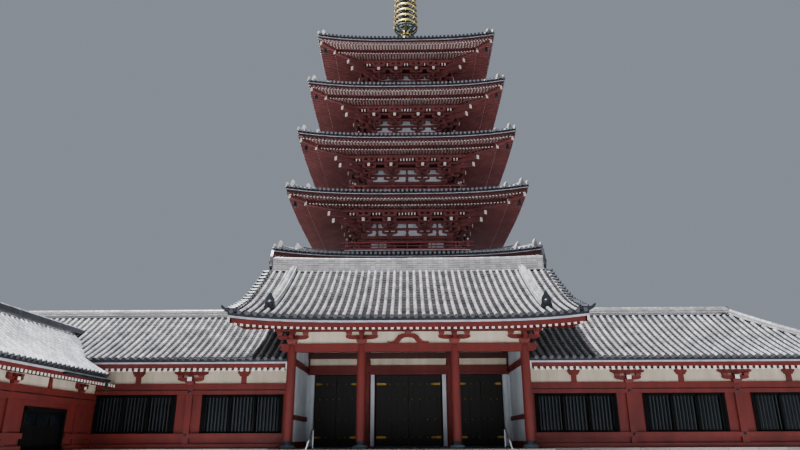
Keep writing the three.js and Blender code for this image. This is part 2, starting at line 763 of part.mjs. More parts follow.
// Three steps of brackets, the purlin, two tiers of rafters and the slab over them. The roof rests on the
// slab along the line where the base rafters end.
function eaves(i) {
  const b = bodyHalf(i);
  const purlin = b + bracketReach + 0.15;
  const flying = eaveHalf(i) - flyingReach;
  const edge = eaveHalf(i) - 0.15;
  const seat = i < storeys - 1 ? bodyHalf(i + 1) + skirtReach + 0.1 : b;
  const levels = [
    [b + 0.15, -bracketHeight + joint],
    [b + 0.15, -1.3],
    [b + 0.65, -1.3],
    [b + 0.65, -0.9],
    [b + 1.25, -0.9],
    [b + 1.25, -0.5],
    [purlin, -0.5],
    [purlin, 0.2],
    [flying, -0.34],
    [flying, 0.02],
    [edge, -0.33],
    [edge, -0.12],
    [flying, roofTop(i, flying) - roofShell - joint],
    [seat, slabTop],
  ];
  return skin(levels.map(([r, z]) => squareRing(r, eaveStations(i), (t) => z + liftAt(i, r, t))));
}

// Triangles between two lines of points, the first to the left of the second. Both run the same way, and
// along() says how far a point has come.
function between(left, right, along) {
  const faces = [];
  let i = 0;
  let j = 0;
  while (i < left.length - 1 || j < right.length - 1) {
    const rightDone = j === right.length - 1;
    const leftNext = rightDone || (i < left.length - 1 && along(left[i + 1]) <= along(right[j + 1]));
    faces.push([left[i], right[j], leftNext ? left[i + 1] : right[j + 1]]);
    if (leftNext) i += 1;
    else j += 1;
  }
  const same = (a, b) => Math.hypot(a[0] - b[0], a[1] - b[1], a[2] - b[2]) < 1e-6;
  return faces.filter(([a, b, c]) => !same(a, b) && !same(b, c) && !same(a, c));
}

// The front quarter's faces, turned to all four sides and closed into one solid.
function fourSides(faces) {
  const turns = [
    [1, 0],
    [0, 1],
    [-1, 0],
    [0, -1],
  ];
  const points = turns.flatMap(([c, s]) =>
    faces.flat().map(([x, y, z]) => new THREE.Vector3(c * x - s * y, s * x + c * y, z)),
  );
  return geometryOf(solid(new THREE.BufferGeometry().setFromPoints(points)));
}

// The tiled roof: a shell with a raised ridge down each corner that dies away under the balcony. On each
// side, lines run straight up the slope along the feet and the crest of every rib of tiles.
function tiledRoof(i) {
  const outer = eaveHalf(i);
  const inner = roofInner(i);
  const flying = outer - flyingReach;
  const top = i === storeys - 1;
  const bends = (top ? [0.33, 0.67] : [0.5]).map((s) => outer - s * (outer - inner));
  const ridgeFoot = 1 - 0.35 / outer; // how far along a side the foot of the corner ridge lies
  const upward = (p) => p[1];
  const sideways = (p) => -p[0] / p[1];
  const onBed = (x, r, rise = 0) => [x, -r, roofTop(i, r) - tileBed + liftAt(i, r, x / r) + rise];
  const foot = (side, r) => onBed(side * ridgeFoot * r, r);
  const level = (r, z) => [...eaveStations(i), 1].map((t) => [t * r, -r, z + liftAt(i, r, t)]);
  const underside = (r) => level(r, roofTop(i, Math.max(r, inner)) - roofShell);

  const ridgeLine = (side) => [
    onBed(side * outer, outer, tileBed + cornerRidge / 2),
    ...bends.map((r) => onBed(side * r, r, tileBed + cornerRidge)),
    onBed(side * inner, inner, tileBed),
  ];
  const upSlope = (x, rise) => {
    const end = Math.max(inner, Math.abs(x) / ridgeFoot);
    const stops = [outer, ...bends.filter((r) => r > end + 0.05)];
    return [...stops.map((r) => onBed(x, r, rise)), onBed(x, end, rise * 0.85)];
  };
  const half = tileCover / 2;
  const lines = rowPlaces(-outer + 0.55, outer - 0.55, ribPitch).flatMap((x) => [
    upSlope(x - half, 0),
    upSlope(x, tileBed),
    upSlope(x + half, 0),
  ]);

  const faces = [];
  const reachesTop = (line) => line.at(-1)[1] > -inner - 1e-6;
  const all = [[foot(-1, outer)], ...lines, [foot(1, outer)]];
  for (let k = 0; k < all.length - 1; k++) {
    const [left, right] = [all[k], all[k + 1]];
    const up = [reachesTop(left), reachesTop(right)];
    const leftLine = up[1] && !up[0] ? [...left, foot(-1, inner)] : left;
    const rightLine = up[0] && !up[1] ? [...right, foot(1, inner)] : right;
    faces.push(...between(leftLine, rightLine, upward));
  }
  const [west, east] = [ridgeLine(-1), ridgeLine(1)];
  const ends = (wanted) => lines.filter(wanted).map((line) => line.at(-1));
  const westEnds = ends((line) => !reachesTop(line) && line[0][0] < 0);
  const eastEnds = ends((line) => !reachesTop(line) && line[0][0] > 0).reverse();
  faces.push(...between(west, [foot(-1, outer), ...westEnds, foot(-1, inner)], upward));
  faces.push(...between([foot(1, outer), ...eastEnds, foot(1, inner)], east, upward));
  const eaveLine = [west[0], foot(-1, outer), ...lines.map((line) => line[0]), foot(1, outer), east[0]];
  const innerLine = [west.at(-1), foot(-1, inner), ...ends(reachesTop), foot(1, inner), east.at(-1)];
  faces.push(...between(eaveLine, underside(outer), sideways));
  const under = [outer, flying, inner];
  if (top) {
    // A flat seat for the spire round the opening, and one more bend on the underside
    const seat = (r) => level(r, roofTop(i, inner));
    faces.push(...between(seat(inner), innerLine, sideways));
    faces.push(...between(seat(basinSeat), seat(inner), sideways));
    faces.push(...between(underside(basinSeat), seat(basinSeat), sideways));
    under.splice(2, 0, (flying + inner) / 2);
    under.push(basinSeat);
  } else {
    faces.push(...between(underside(inner), innerLine, sideways));
  }
  under.slice(1).forEach((r, k) => faces.push(...between(underside(under[k]), underside(r), sideways)));
  return fourSides(faces);
}

// The body of a storey: a square tube of wall with twelve columns
function storeyWall(i, z0, z1) {
  const b = bodyHalf(i);
  const inner = b - 0.25;
  const room = block(-inner, inner, -inner, inner, z0 - 1, z1 + 1);
  const middle = innerColumns[i] * b;
  const spots = [-b, -middle, middle, b];
  const columns = [];
  for (const x of spots) {
    for (const y of spots) {
      if (Math.abs(x) === b || Math.abs(y) === b) columns.push(post(x, y, 0.24, z0, z1, 8));
    }
  }
  return cut(join(block(-b, b, -b, b, z0, z1), ...columns), room);
}

// A balcony: a floor slab on a skirt that stands on the slab below, with a railing round it
function balcony(i) {
  const b = bodyHalf(i);
  const skirt = b + skirtReach;
  const floor = b + balconyReach;
  const line = floor - 0.14;
  const half = 0.06;
  const railTop = balconyFloor + 0.75;
  const room = skirt - 0.25;
  const parts = [
    block(-skirt, skirt, -skirt, skirt, slabTop + joint, balconyFloor),
    block(-floor, floor, -floor, floor, balconyFloor - 0.18, balconyFloor),
  ];
  for (const side of [-line, line]) {
    parts.push(block(-floor - 0.1, floor + 0.1, side - half, side + half, railTop - 0.1, railTop));
    parts.push(block(side - half, side + half, -floor - 0.1, floor + 0.1, railTop - 0.1, railTop));
  }
  const spots = [-line, -line / 3, line / 3, line];
  const thin = half - 0.01;
  for (const x of spots) {
    for (const y of spots) {
      if (Math.abs(x) === line || Math.abs(y) === line) {
        parts.push(block(x - thin, x + thin, y - thin, y + thin, balconyFloor - 0.05, railTop - 0.05));
      }
    }
  }
  return cut(join(...parts), block(-room, room, -room, room, 0, balconyFloor - 0.2));
}

for (let i = 0; i < storeys; i++) {
  const storey = new THREE.Group();
  storey.position.z = eaveLevel(i);
  building.add(storey);
  const foot = i === 0 ? baseTop - eaveLevel(0) : eaveLevel(i - 1) + balconyFloor - eaveLevel(i);
  piece(`storey_${i + 1}_wall`, storeyWall(i, foot + joint, -bracketHeight), materials.vermilion, storey);
  piece(`storey_${i + 1}_eaves`, eaves(i), materials.vermilion, storey);
  piece(`storey_${i + 1}_roof`, tiledRoof(i), materials.tile, storey);
  if (i < storeys - 1) piece(`storey_${i + 2}_balcony`, balcony(i + 1), materials.vermilion, storey);
}

// Spire: dew basin, bowl and lotus; mast with nine rings; water flame and jewels
const spire = new THREE.Group();
spire.position.z = eaveLevel(storeys - 1);
building.add(spire);

function lathe(points, sides = 16) {
  const outline = points.map(([r, z]) => new THREE.Vector2(r, z));
  return new THREE.LatheGeometry(outline, sides).rotateX(Math.PI / 2);
}

const basinFoot = 0.3 + roofRise(storeys - 1) + joint;
const lotusTop = 6.35;
const mastRadius = 0.13;
const ringCount = 9;
const firstRing = 7.05;
const ringPitch = 0.678;
const flameFoot = firstRing + (ringCount - 1) * ringPitch + 0.55;

function spireBase() {
  const basin = block(-0.82, 0.82, -0.82, 0.82, basinFoot, 4.95);
  const rim = block(-0.95, 0.95, -0.95, 0.95, 4.78, 5);
  const bowl = lathe([
    [0, 4.9],
    [0.8, 4.9],
    [0.78, 5.25],
    [0.6, 5.6],
    [0.3, 5.8],
    [0.3, 5.95],
    [0.6, 6.1],
    [0.88, lotusTop],
    [0, lotusTop],
  ]);
  return join(basin, rim, bowl);
}

function spireRings() {
  const top = flameFoot - joint;
  const parts = [post(0, 0, mastRadius, lotusTop + joint, top, 10)];
  for (let k = 0; k < ringCount; k++) {
    const z = firstRing + k * ringPitch;
    const radius = 1.21 - 0.026 * k;
    parts.push(
      lathe([
        [radius - 0.12, z - 0.09],
        [radius, z - 0.09],
        [radius, z + 0.09],
        [radius - 0.12, z + 0.09],
        [radius - 0.12, z - 0.09],
      ]),
    );
    parts.push(block(-radius + 0.05, radius - 0.05, -0.05, 0.05, z - 0.05, z + 0.05));
    parts.push(block(-0.05, 0.05, -radius + 0.05, radius - 0.05, z - 0.05, z + 0.05));
  }
  return join(...parts);
}

// Four flame fins round the mast, a small wheel, and two jewels
function spireTip() {
  const fin = [
    [0, flameFoot + 0.15],
    [0.45, flameFoot + 0.1],
    [0.78, flameFoot + 0.8],
    [0.66, flameFoot + 1.6],
    [0.34, flameFoot + 2.3],
    [0, flameFoot + 2.8],
    [-0.34, flameFoot + 2.3],
    [-0.66, flameFoot + 1.6],
    [-0.78, flameFoot + 0.8],
    [-0.45, flameFoot + 0.1],
  ];
  const mast = post(0, 0, mastRadius, flameFoot, flameFoot + 3.4, 10);
  const jewels = lathe([
    [0, flameFoot + 3.1],
    [0.3, flameFoot + 3.2],
    [0.42, flameFoot + 3.42],
    [0.3, flameFoot + 3.65],
    [0.1, flameFoot + 3.8],
    [0.1, flameFoot + 4.5],
    [0.3, flameFoot + 4.65],
    [0.42, flameFoot + 4.95],
    [0.3, flameFoot + 5.35],
    [0, flameFoot + 5.82],
  ]);
  return join(mast, wallAlongX(fin, -0.04, 0.04), wallAlongY(fin, -0.04, 0.04), jewels);
}

piece("spire_base", spireBase(), materials.gilt, spire);
piece("spire_rings", spireRings(), materials.gilt, spire);
piece("spire_tip", spireTip(), materials.gilt, spire);

export default building;
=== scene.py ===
# Five-storey pagoda with its gate hall, tiled ranges and front wing, as a 1:2 model.
# Sizes below are metres of the real building; each finished mesh is brought down by modelScale.
import math
import bpy
from mathutils import Matrix, Vector


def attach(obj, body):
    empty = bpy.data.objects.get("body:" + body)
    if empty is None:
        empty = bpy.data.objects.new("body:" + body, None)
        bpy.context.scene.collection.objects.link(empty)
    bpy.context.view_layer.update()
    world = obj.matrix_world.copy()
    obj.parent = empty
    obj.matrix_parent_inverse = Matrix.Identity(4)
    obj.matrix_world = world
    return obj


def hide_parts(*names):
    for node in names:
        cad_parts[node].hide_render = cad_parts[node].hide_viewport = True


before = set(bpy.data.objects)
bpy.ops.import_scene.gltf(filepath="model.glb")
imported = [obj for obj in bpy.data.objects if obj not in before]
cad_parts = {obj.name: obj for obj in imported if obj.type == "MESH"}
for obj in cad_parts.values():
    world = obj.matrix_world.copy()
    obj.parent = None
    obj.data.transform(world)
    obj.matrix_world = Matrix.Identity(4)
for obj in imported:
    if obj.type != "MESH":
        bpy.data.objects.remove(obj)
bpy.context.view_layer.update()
modelScale = 0.5
print("frame loaded,", len(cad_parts), "nodes")


# Small helpers

def linear(hexColour):
    values = [int(hexColour[k:k + 2], 16) / 255 for k in (1, 3, 5)]
    return tuple(v / 12.92 if v <= 0.04045 else ((v + 0.055) / 1.055) ** 2.4 for v in values) + (1.0,)


def addNode(tree, kind, inputs=None, **settings):
    node = tree.nodes.new(kind)
    for name, value in settings.items():
        setattr(node, name, value)
    for name, value in (inputs or {}).items():
        if isinstance(value, bpy.types.NodeSocket):
            tree.links.new(value, node.inputs[name])
        else:
            node.inputs[name].default_value = value
    return node


def along(first, last, steps):
    # even steps from the first value to the last, both included
    return [first + (last - first) * k / steps for k in range(steps + 1)]


def spaced(half, pitch):
    # places at an even pitch, centred, within plus and minus half
    count = int(2 * half / pitch)
    return [(k - (count - 1) / 2) * pitch for k in range(count)]


def multiples(low, high, pitch):
    # places at whole multiples of a pitch
    return [k * pitch for k in range(math.ceil(low / pitch), math.floor(high / pitch) + 1)]


def raised(line, rise):
    return [(x, y, z + rise) for x, y, z in line]


def placed(place, turn=0.0):
    return Matrix.Translation(place) @ Matrix.Rotation(turn, 4, "Z")


def mirrored(half):
    # a whole outline from its right half, which runs from its foot to a tip on the axis
    return [(-a, b) for a, b in half[:1]] + half + [(-a, b) for a, b in half[-2:0:-1]]


class Faces:
    # Faces gathered for one piece. "down" is metres along the slope from the eave, for tile courses.
    def __init__(self):
        self.points, self.polygons, self.finishes, self.down = [], [], [], []

    def merge(self, other, matrix=None):
        start = len(self.points)
        self.points.extend(tuple(matrix @ Vector(p)) if matrix else p for p in other.points)
        self.polygons.extend([start + k for k in polygon] for polygon in other.polygons)
        self.finishes.extend(other.finishes)
        self.down.extend(other.down)

    def loft(self, rings, paint, loop=True, caps=True, down=None):
        # joins rows of points; the first row seen from its start runs anticlockwise
        start, count = len(self.points), len(rings[0])
        polygons = []
        for i in range(len(rings) - 1):
            for j in range(count if loop else count - 1):
                k = (j + 1) % count
                polygons.append([i * count + j, i * count + k, (i + 1) * count + k, (i + 1) * count + j])
        if loop and caps:
            polygons.append(list(reversed(range(count))))
            polygons.append([(len(rings) - 1) * count + j for j in range(count)])
        self.points.extend(tuple(p) for ring in rings for p in ring)
        self.polygons.extend([start + k for k in polygon] for polygon in polygons)
        self.finishes.extend([finish[paint]] * len(polygons))
        self.down.extend(value for value in down or [0.0] * len(rings) for _ in range(count))

    def box(self, x0, x1, y0, y1, z0, z1, paint):
        x0, x1 = sorted((x0, x1))
        corners = [(x0, y0), (x1, y0), (x1, y1), (x0, y1)]
        self.loft([[(x, y, z) for x, y in corners] for z in (z0, z1)], paint)

    def prism(self, outline, v0, v1, paint, axis="Y"):
        # an outline in x and z pushed along y, or in y and z pushed along x
        following = outline[1:] + outline[:1]
        if sum(a * d - b * c for (a, b), (c, d) in zip(outline, following)) < 0:
            outline = outline[::-1]  # so that it runs anticlockwise
        if axis == "Y":
            rings = [[(a, v, b) for a, b in outline] for v in (v1, v0)]
        else:
            rings = [[(v, a, b) for a, b in outline] for v in (v0, v1)]
        self.loft(rings, paint)

    def band(self, places, point, r0, r1, z0, z1, paint, caps=True):
        # a moulding of rectangular section; point(place, r, z) says where its corners run
        section = [(r1, z0), (r0, z0), (r0, z1), (r1, z1)]
        self.loft([[point(place, r, z) for r, z in section] for place in places], paint, caps=caps)

    def panTiles(self, count, length, proud, edge, peak=()):
        # courses of pan tiles that lap like stairs; edge(share of the way up, rise) gives a row of points
        rings, down = [], []
        for k in range(count):
            for step, rise, lap in ((k, proud, 0.002), (k + 1, 0.0, -0.002)):
                rings.append(edge(step / count, rise))
                down.append(length * (step + lap))
        for row in peak:
            rings.append(row)
            down.append(down[-1] + length)
        self.loft(rings, "pan", loop=False, down=down)

    def lathe(self, profile, centre, paint, sides=16):
        # profile from foot to top as (radius, z)
        cx, cy, cz = centre
        angles = along(0.0, 2 * math.pi, sides)[:-1]
        rings = [[(cx + radius * math.cos(a), cy + radius * math.sin(a), cz + z) for a in angles]
                 for radius, z in profile]
        self.loft(rings, paint)

    def bars(self, lines, width, height, paint):
        self.merge(grow(barTree, lineMesh(lines), width=width, height=height, finish=finish[paint]))

    def tileRows(self, lines, radius, discRadius, discDepth, paint="cover", discPaint="tileEnd"):
        self.merge(grow(tileTree, lineMesh(lines), radius=radius, discRadius=discRadius, discDepth=discDepth,
                        finish=finish[paint], discFinish=finish[discPaint]))

    def blocks(self, points, width, depth, height, paint, turn=0.0):
        self.merge(grow(blockTree, pointMesh(points, turn), width=width, depth=depth, height=height,
                        finish=finish[paint]))

    def studs(self, points, radius, height, paint, turn=0.0):
        self.merge(grow(studTree, pointMesh(points, turn), radius=radius, height=height,
                        finish=finish[paint]))

    def hoop(self, radius, thickness, z, paint, stretch=1.0):
        ring = grow(hoopTree, pointMesh([(0, 0, 0)]), radius=radius, thickness=thickness,
                    finish=finish[paint])
        self.merge(ring, Matrix.Translation((0, 0, z)) @ Matrix.Diagonal((1, 1, stretch, 1)))


def fourSides(front):
    # a square storey: the front side carried round to the other three
    whole = Faces()
    for quarter in range(4):
        whole.merge(front, Matrix.Rotation(quarter * math.pi / 2, 4, "Z"))
    return whole


def assemble(name, faces, body="building", replaces=()):
    finishes = list(dict.fromkeys(faces.finishes))
    places = {material: k for k, material in enumerate(finishes)}
    mesh = bpy.data.meshes.new(name)
    mesh.from_pydata([[c * modelScale for c in p] for p in faces.points], [], faces.polygons)
    for material in finishes:
        mesh.materials.append(material)
    mesh.polygons.foreach_set("material_index", [places[material] for material in faces.finishes])
    mesh.attributes.new("down", "FLOAT", "POINT").data.foreach_set("value", faces.down)
    mesh.validate()
    mesh.shade_smooth()
    mesh.set_sharp_from_angle(angle=math.radians(50))
    piece = bpy.data.objects.new(name, mesh)
    bpy.context.collection.objects.link(piece)
    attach(piece, body)
    if replaces:
        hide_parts(*replaces)


# Geometry Nodes trees for what repeats

def startTree(name, **sizes):
    tree = bpy.data.node_groups.new(name, "GeometryNodeTree")
    for label, kind in {"Geometry": "Geometry", **sizes}.items():
        tree.interface.new_socket(label, in_out="INPUT", socket_type="NodeSocket" + kind)
    tree.interface.new_socket("Geometry", in_out="OUTPUT", socket_type="NodeSocketGeometry")
    return tree, addNode(tree, "NodeGroupInput").outputs


def endTree(tree, geometry, given, mark=None, second=None):
    # faces that carry the mark take the second finish
    real = addNode(tree, "GeometryNodeRealizeInstances", {"Geometry": geometry})
    last = addNode(tree, "GeometryNodeSetMaterial",
                   {"Geometry": real.outputs["Geometry"], "Material": given["finish"]})
    if mark:
        marked = addNode(tree, "GeometryNodeInputNamedAttribute", {"Name": mark}, data_type="FLOAT")
        chosen = addNode(tree, "FunctionNodeCompare", {"A": marked.outputs["Attribute"], "B": 0.5},
                         data_type="FLOAT", operation="GREATER_THAN")
        last = addNode(tree, "GeometryNodeSetMaterial",
                       {"Geometry": last.outputs["Geometry"], "Material": given[second],
                        "Selection": chosen.outputs["Result"]})
    addNode(tree, "NodeGroupOutput", {"Geometry": last.outputs["Geometry"]})
    return tree


def uprightCurve(tree, given):
    line = addNode(tree, "GeometryNodeMeshToCurve", {"Mesh": given["Geometry"]})
    upright = addNode(tree, "GeometryNodeSetCurveNormal", {"Curve": line.outputs["Curve"]}, mode="Z_UP")
    return upright.outputs["Curve"]


def sweep(tree, curve, section, caps=False):
    swept = addNode(tree, "GeometryNodeCurveToMesh",
                    {"Curve": curve, "Profile Curve": section.outputs["Curve"], "Fill Caps": caps})
    return swept.outputs["Mesh"]


def onPoints(tree, given, instance, scale=(1.0, 1.0, 1.0)):
    # a copy on every point, turned by the point's "turn"
    turn = addNode(tree, "GeometryNodeInputNamedAttribute", {"Name": "turn"}, data_type="FLOAT")
    about = addNode(tree, "ShaderNodeCombineXYZ", {"Z": turn.outputs["Attribute"]})
    copies = addNode(tree, "GeometryNodeInstanceOnPoints", {"Points": given["Geometry"], "Instance": instance,
                     "Rotation": about.outputs["Vector"], "Scale": scale})
    return copies.outputs["Instances"]


def makeBarTree():
    # every edge line becomes a square bar: rafters, rails, laths
    tree, given = startTree("barsAlongLines", width="Float", height="Float", finish="Material")
    section = addNode(tree, "GeometryNodeCurvePrimitiveQuadrilateral",
                      {"Width": given["width"], "Height": given["height"]})
    return endTree(tree, sweep(tree, uprightCurve(tree, given), section, caps=True), given)


def makeTileTree():
    # every line becomes a row of half-round cover tiles that starts with a round end disc
    tree, given = startTree("coverTileRows", radius="Float", discRadius="Float", discDepth="Float",
                            finish="Material", discFinish="Material")
    curve = uprightCurve(tree, given)
    section = addNode(tree, "GeometryNodeCurveArc", {"Resolution": 5, "Radius": given["radius"],
                      "Start Angle": math.pi, "Sweep Angle": math.pi})
    disc = addNode(tree, "GeometryNodeMeshCylinder", {"Vertices": 8, "Radius": given["discRadius"],
                   "Depth": given["discDepth"]}, fill_type="NGON")
    marked = addNode(tree, "GeometryNodeStoreNamedAttribute",
                     {"Geometry": disc.outputs["Mesh"], "Name": "disc", "Value": 1.0},
                     data_type="FLOAT", domain="FACE")
    tangent = addNode(tree, "GeometryNodeInputTangent")
    facing = addNode(tree, "FunctionNodeAlignRotationToVector", {"Vector": tangent.outputs["Tangent"]},
                     axis="Z")
    first = addNode(tree, "GeometryNodeCurveEndpointSelection", {"Start Size": 1, "End Size": 0})
    discs = addNode(tree, "GeometryNodeInstanceOnPoints",
                    {"Points": curve, "Selection": first.outputs["Selection"],
                     "Instance": marked.outputs["Geometry"], "Rotation": facing.outputs["Rotation"]})
    both = addNode(tree, "GeometryNodeJoinGeometry", {"Geometry": sweep(tree, curve, section)})
    tree.links.new(discs.outputs["Instances"], both.inputs["Geometry"])
    return endTree(tree, both.outputs["Geometry"], given, "disc", "discFinish")


def makeBlockTree():
    # posts, window bars, rafter ends, dashes
    tree, given = startTree("blocksOnPoints", width="Float", depth="Float", height="Float", finish="Material")
    size = addNode(tree, "ShaderNodeCombineXYZ",
                   {"X": given["width"], "Y": given["depth"], "Z": given["height"]})
    block = addNode(tree, "GeometryNodeMeshCube", {"Size": size.outputs["Vector"]})
    return endTree(tree, onPoints(tree, given, block.outputs["Mesh"]), given)


def makeStudTree():
    # nail covers and door bosses
    tree, given = startTree("roundHeads", radius="Float", height="Float", finish="Material")
    head = addNode(tree, "GeometryNodeMeshUVSphere", {"Segments": 8, "Rings": 6, "Radius": given["radius"]})
    squash = addNode(tree, "ShaderNodeMath", {0: given["height"], 1: given["radius"]}, operation="DIVIDE")
    flat = addNode(tree, "ShaderNodeCombineXYZ", {"X": 1.0, "Y": squash.outputs["Value"], "Z": 1.0})
    return endTree(tree, onPoints(tree, given, head.outputs["Mesh"], flat.outputs["Vector"]), given)


def makeSetTree():
    # a ready-made set on every point
    tree, given = startTree("setsOnPoints", set="Object", finish="Material", painted="Material")
    made = addNode(tree, "GeometryNodeObjectInfo", {"Object": given["set"]}, transform_space="ORIGINAL")
    return endTree(tree, onPoints(tree, given, made.outputs["Geometry"]), given, "painted", "painted")


def makeHoopTree():
    tree, given = startTree("hoopsOnPoints", radius="Float", thickness="Float", finish="Material")
    line = addNode(tree, "GeometryNodeCurvePrimitiveCircle", {"Resolution": 36, "Radius": given["radius"]})
    section = addNode(tree, "GeometryNodeCurvePrimitiveCircle",
                      {"Resolution": 8, "Radius": given["thickness"]})
    return endTree(tree, onPoints(tree, given, sweep(tree, line.outputs["Curve"], section)), given)


barTree, tileTree, blockTree = makeBarTree(), makeTileTree(), makeBlockTree()
studTree, setTree, hoopTree = makeStudTree(), makeSetTree(), makeHoopTree()


def lineMesh(lines):
    # each line is a row of points; "down" counts metres from its first point
    mesh = bpy.data.meshes.new("lines")
    points, edges, down = [], [], []
    for line in lines:
        start = len(points)
        points.extend(line)
        edges.extend((start + k, start + k + 1) for k in range(len(line) - 1))
        run = 0.0
        for k, point in enumerate(line):
            run += (Vector(point) - Vector(line[k - 1])).length if k else 0.0
            down.append(run)
    mesh.from_pydata(points, edges, [])
    mesh.attributes.new("down", "FLOAT", "POINT").data.foreach_set("value", down)
    return mesh


def pointMesh(points, turn=0.0):
    mesh = bpy.data.meshes.new("points")
    mesh.from_pydata(points, [], [])
    mesh.attributes.new("turn", "FLOAT", "POINT").data.foreach_set("value", [turn] * len(points))
    return mesh


def grow(tree, mesh, **sizes):
    # runs a tree on a mesh and hands back the plain result as faces
    carrier = bpy.data.objects.new("carrier", mesh)
    bpy.context.collection.objects.link(carrier)
    modifier = carrier.modifiers.new("grow", "NODES")
    modifier.node_group = tree
    for item in tree.interface.items_tree:
        if item.in_out == "INPUT" and item.name in sizes:
            modifier[item.identifier] = sizes[item.name]
    graph = bpy.context.evaluated_depsgraph_get()
    graph.update()
    made = bpy.data.meshes.new_from_object(carrier.evaluated_get(graph))
    faces = Faces()
    faces.points = [tuple(v.co) for v in made.vertices]
    faces.polygons = [list(p.vertices) for p in made.polygons]
    faces.finishes = [made.materials[p.material_index] for p in made.polygons]
    values = made.attributes.get("down")
    faces.down = [v.value for v in values.data] if values else [0.0] * len(faces.points)
    bpy.data.objects.remove(carrier)
    bpy.data.meshes.remove(made)
    bpy.data.meshes.remove(mesh)
    return faces


# Materials, named for what they are; the real sizes of their patterns are in metres

def newMaterial(name):
    material = bpy.data.materials.new(name)
    material.use_nodes = True
    material.node_tree.nodes.clear()
    where = addNode(material.node_tree, "ShaderNodeTexCoord").outputs["Object"]
    return material, material.node_tree, where


def cloudy(tree, where, size, detail, roughness=0.5):
    return addNode(tree, "ShaderNodeTexNoise", {"Vector": where, "Scale": 1 / (size * modelScale),
                   "Detail": detail, "Roughness": roughness}).outputs["Fac"]


def stretched(tree, where, share):
    # makes a pattern long in the upright direction
    return addNode(tree, "ShaderNodeMapping", {"Vector": where, "Scale": (1.0, 1.0, share)}).outputs["Vector"]


def mapped(tree, value, low, high, toLow=0.0, toHigh=1.0):
    return addNode(tree, "ShaderNodeMapRange", {"Value": value, "From Min": low, "From Max": high,
                   "To Min": toLow, "To Max": toHigh}).outputs["Result"]


def worked(tree, operation, *values):
    return addNode(tree, "ShaderNodeMath", dict(enumerate(values)), operation=operation).outputs["Value"]


def blended(tree, share, first, second):
    return addNode(tree, "ShaderNodeMix", {0: share, 6: first, 7: second}, data_type="RGBA").outputs[2]


def bumped(tree, height, strength, distance, invert=False):
    return addNode(tree, "ShaderNodeBump", {"Height": height, "Strength": strength, "Distance": distance},
                   invert=invert).outputs["Normal"]


def setSurface(tree, colour, roughness, normal, constants):
    surface = addNode(tree, "ShaderNodeBsdfPrincipled", {"Base Color": colour, "Roughness": roughness,
                      "Normal": normal, **constants})
    addNode(tree, "ShaderNodeOutputMaterial", {"Surface": surface.outputs["BSDF"]})


def rolledPaint(name, clean, soiled, roughness=0.55, grain=0.05, depth=0.25, sheen=0.35):
    # Exterior paint on cast concrete and timber: even colour, faint cloudy patches, rain streaks that run
    # down, and the orange-peel of a roller. The real 3 mm stipple is drawn at 50 mm so that it shows.
    material, tree, where = newMaterial(name)
    cloud = cloudy(tree, where, 1.3, 5.0, 0.6)
    streak = cloudy(tree, stretched(tree, where, 0.12), 0.35, 3.0)
    share = mapped(tree, worked(tree, "MULTIPLY", cloud, streak), 0.14, 0.42, 0.75, 0.0)
    colour = blended(tree, share, linear(clean), linear(soiled))
    gloss = mapped(tree, cloud, 0.3, 0.7, roughness + 0.12, roughness - 0.06)
    peel = bumped(tree, cloudy(tree, where, grain, 2.0), depth, 0.004)
    setSurface(tree, colour, gloss, peel, {"Specular IOR Level": sheen})
    return material


def smokedTile(name, light, dark, joint, metallic=0.25, cell=(0.1825, 0.1825, 10.0)):
    # Smoked clay roof tile: a silvery carbon skin, semi-gloss, each tile a little different, with a dark
    # lap joint every 300 mm down the slope.
    material, tree, where = newMaterial(name)
    down = addNode(tree, "ShaderNodeAttribute", attribute_name="down").outputs["Fac"]
    count = worked(tree, "DIVIDE", down, 0.3)
    place = worked(tree, "FRACT", count)
    snapped = addNode(tree, "ShaderNodeVectorMath", {0: where, 1: cell}, operation="SNAP").outputs["Vector"]
    tint = addNode(tree, "ShaderNodeTexWhiteNoise", {"Vector": snapped, "W": worked(tree, "FLOOR", count)},
                   noise_dimensions="4D").outputs["Value"]
    cloud = cloudy(tree, where, 0.8, 6.0)
    share = mapped(tree, worked(tree, "MULTIPLY_ADD", tint, 0.45, cloud), 0.3, 1.0)
    skin = blended(tree, share, linear(light), linear(dark))
    colour = blended(tree, mapped(tree, place, 0.0, 0.16, 1.0, 0.0), skin, linear(joint))
    gloss = mapped(tree, cloud, 0.3, 0.7, 0.5, 0.34)
    setSurface(tree, colour, gloss, bumped(tree, place, 0.6, 0.006), {"Metallic": metallic})
    return material


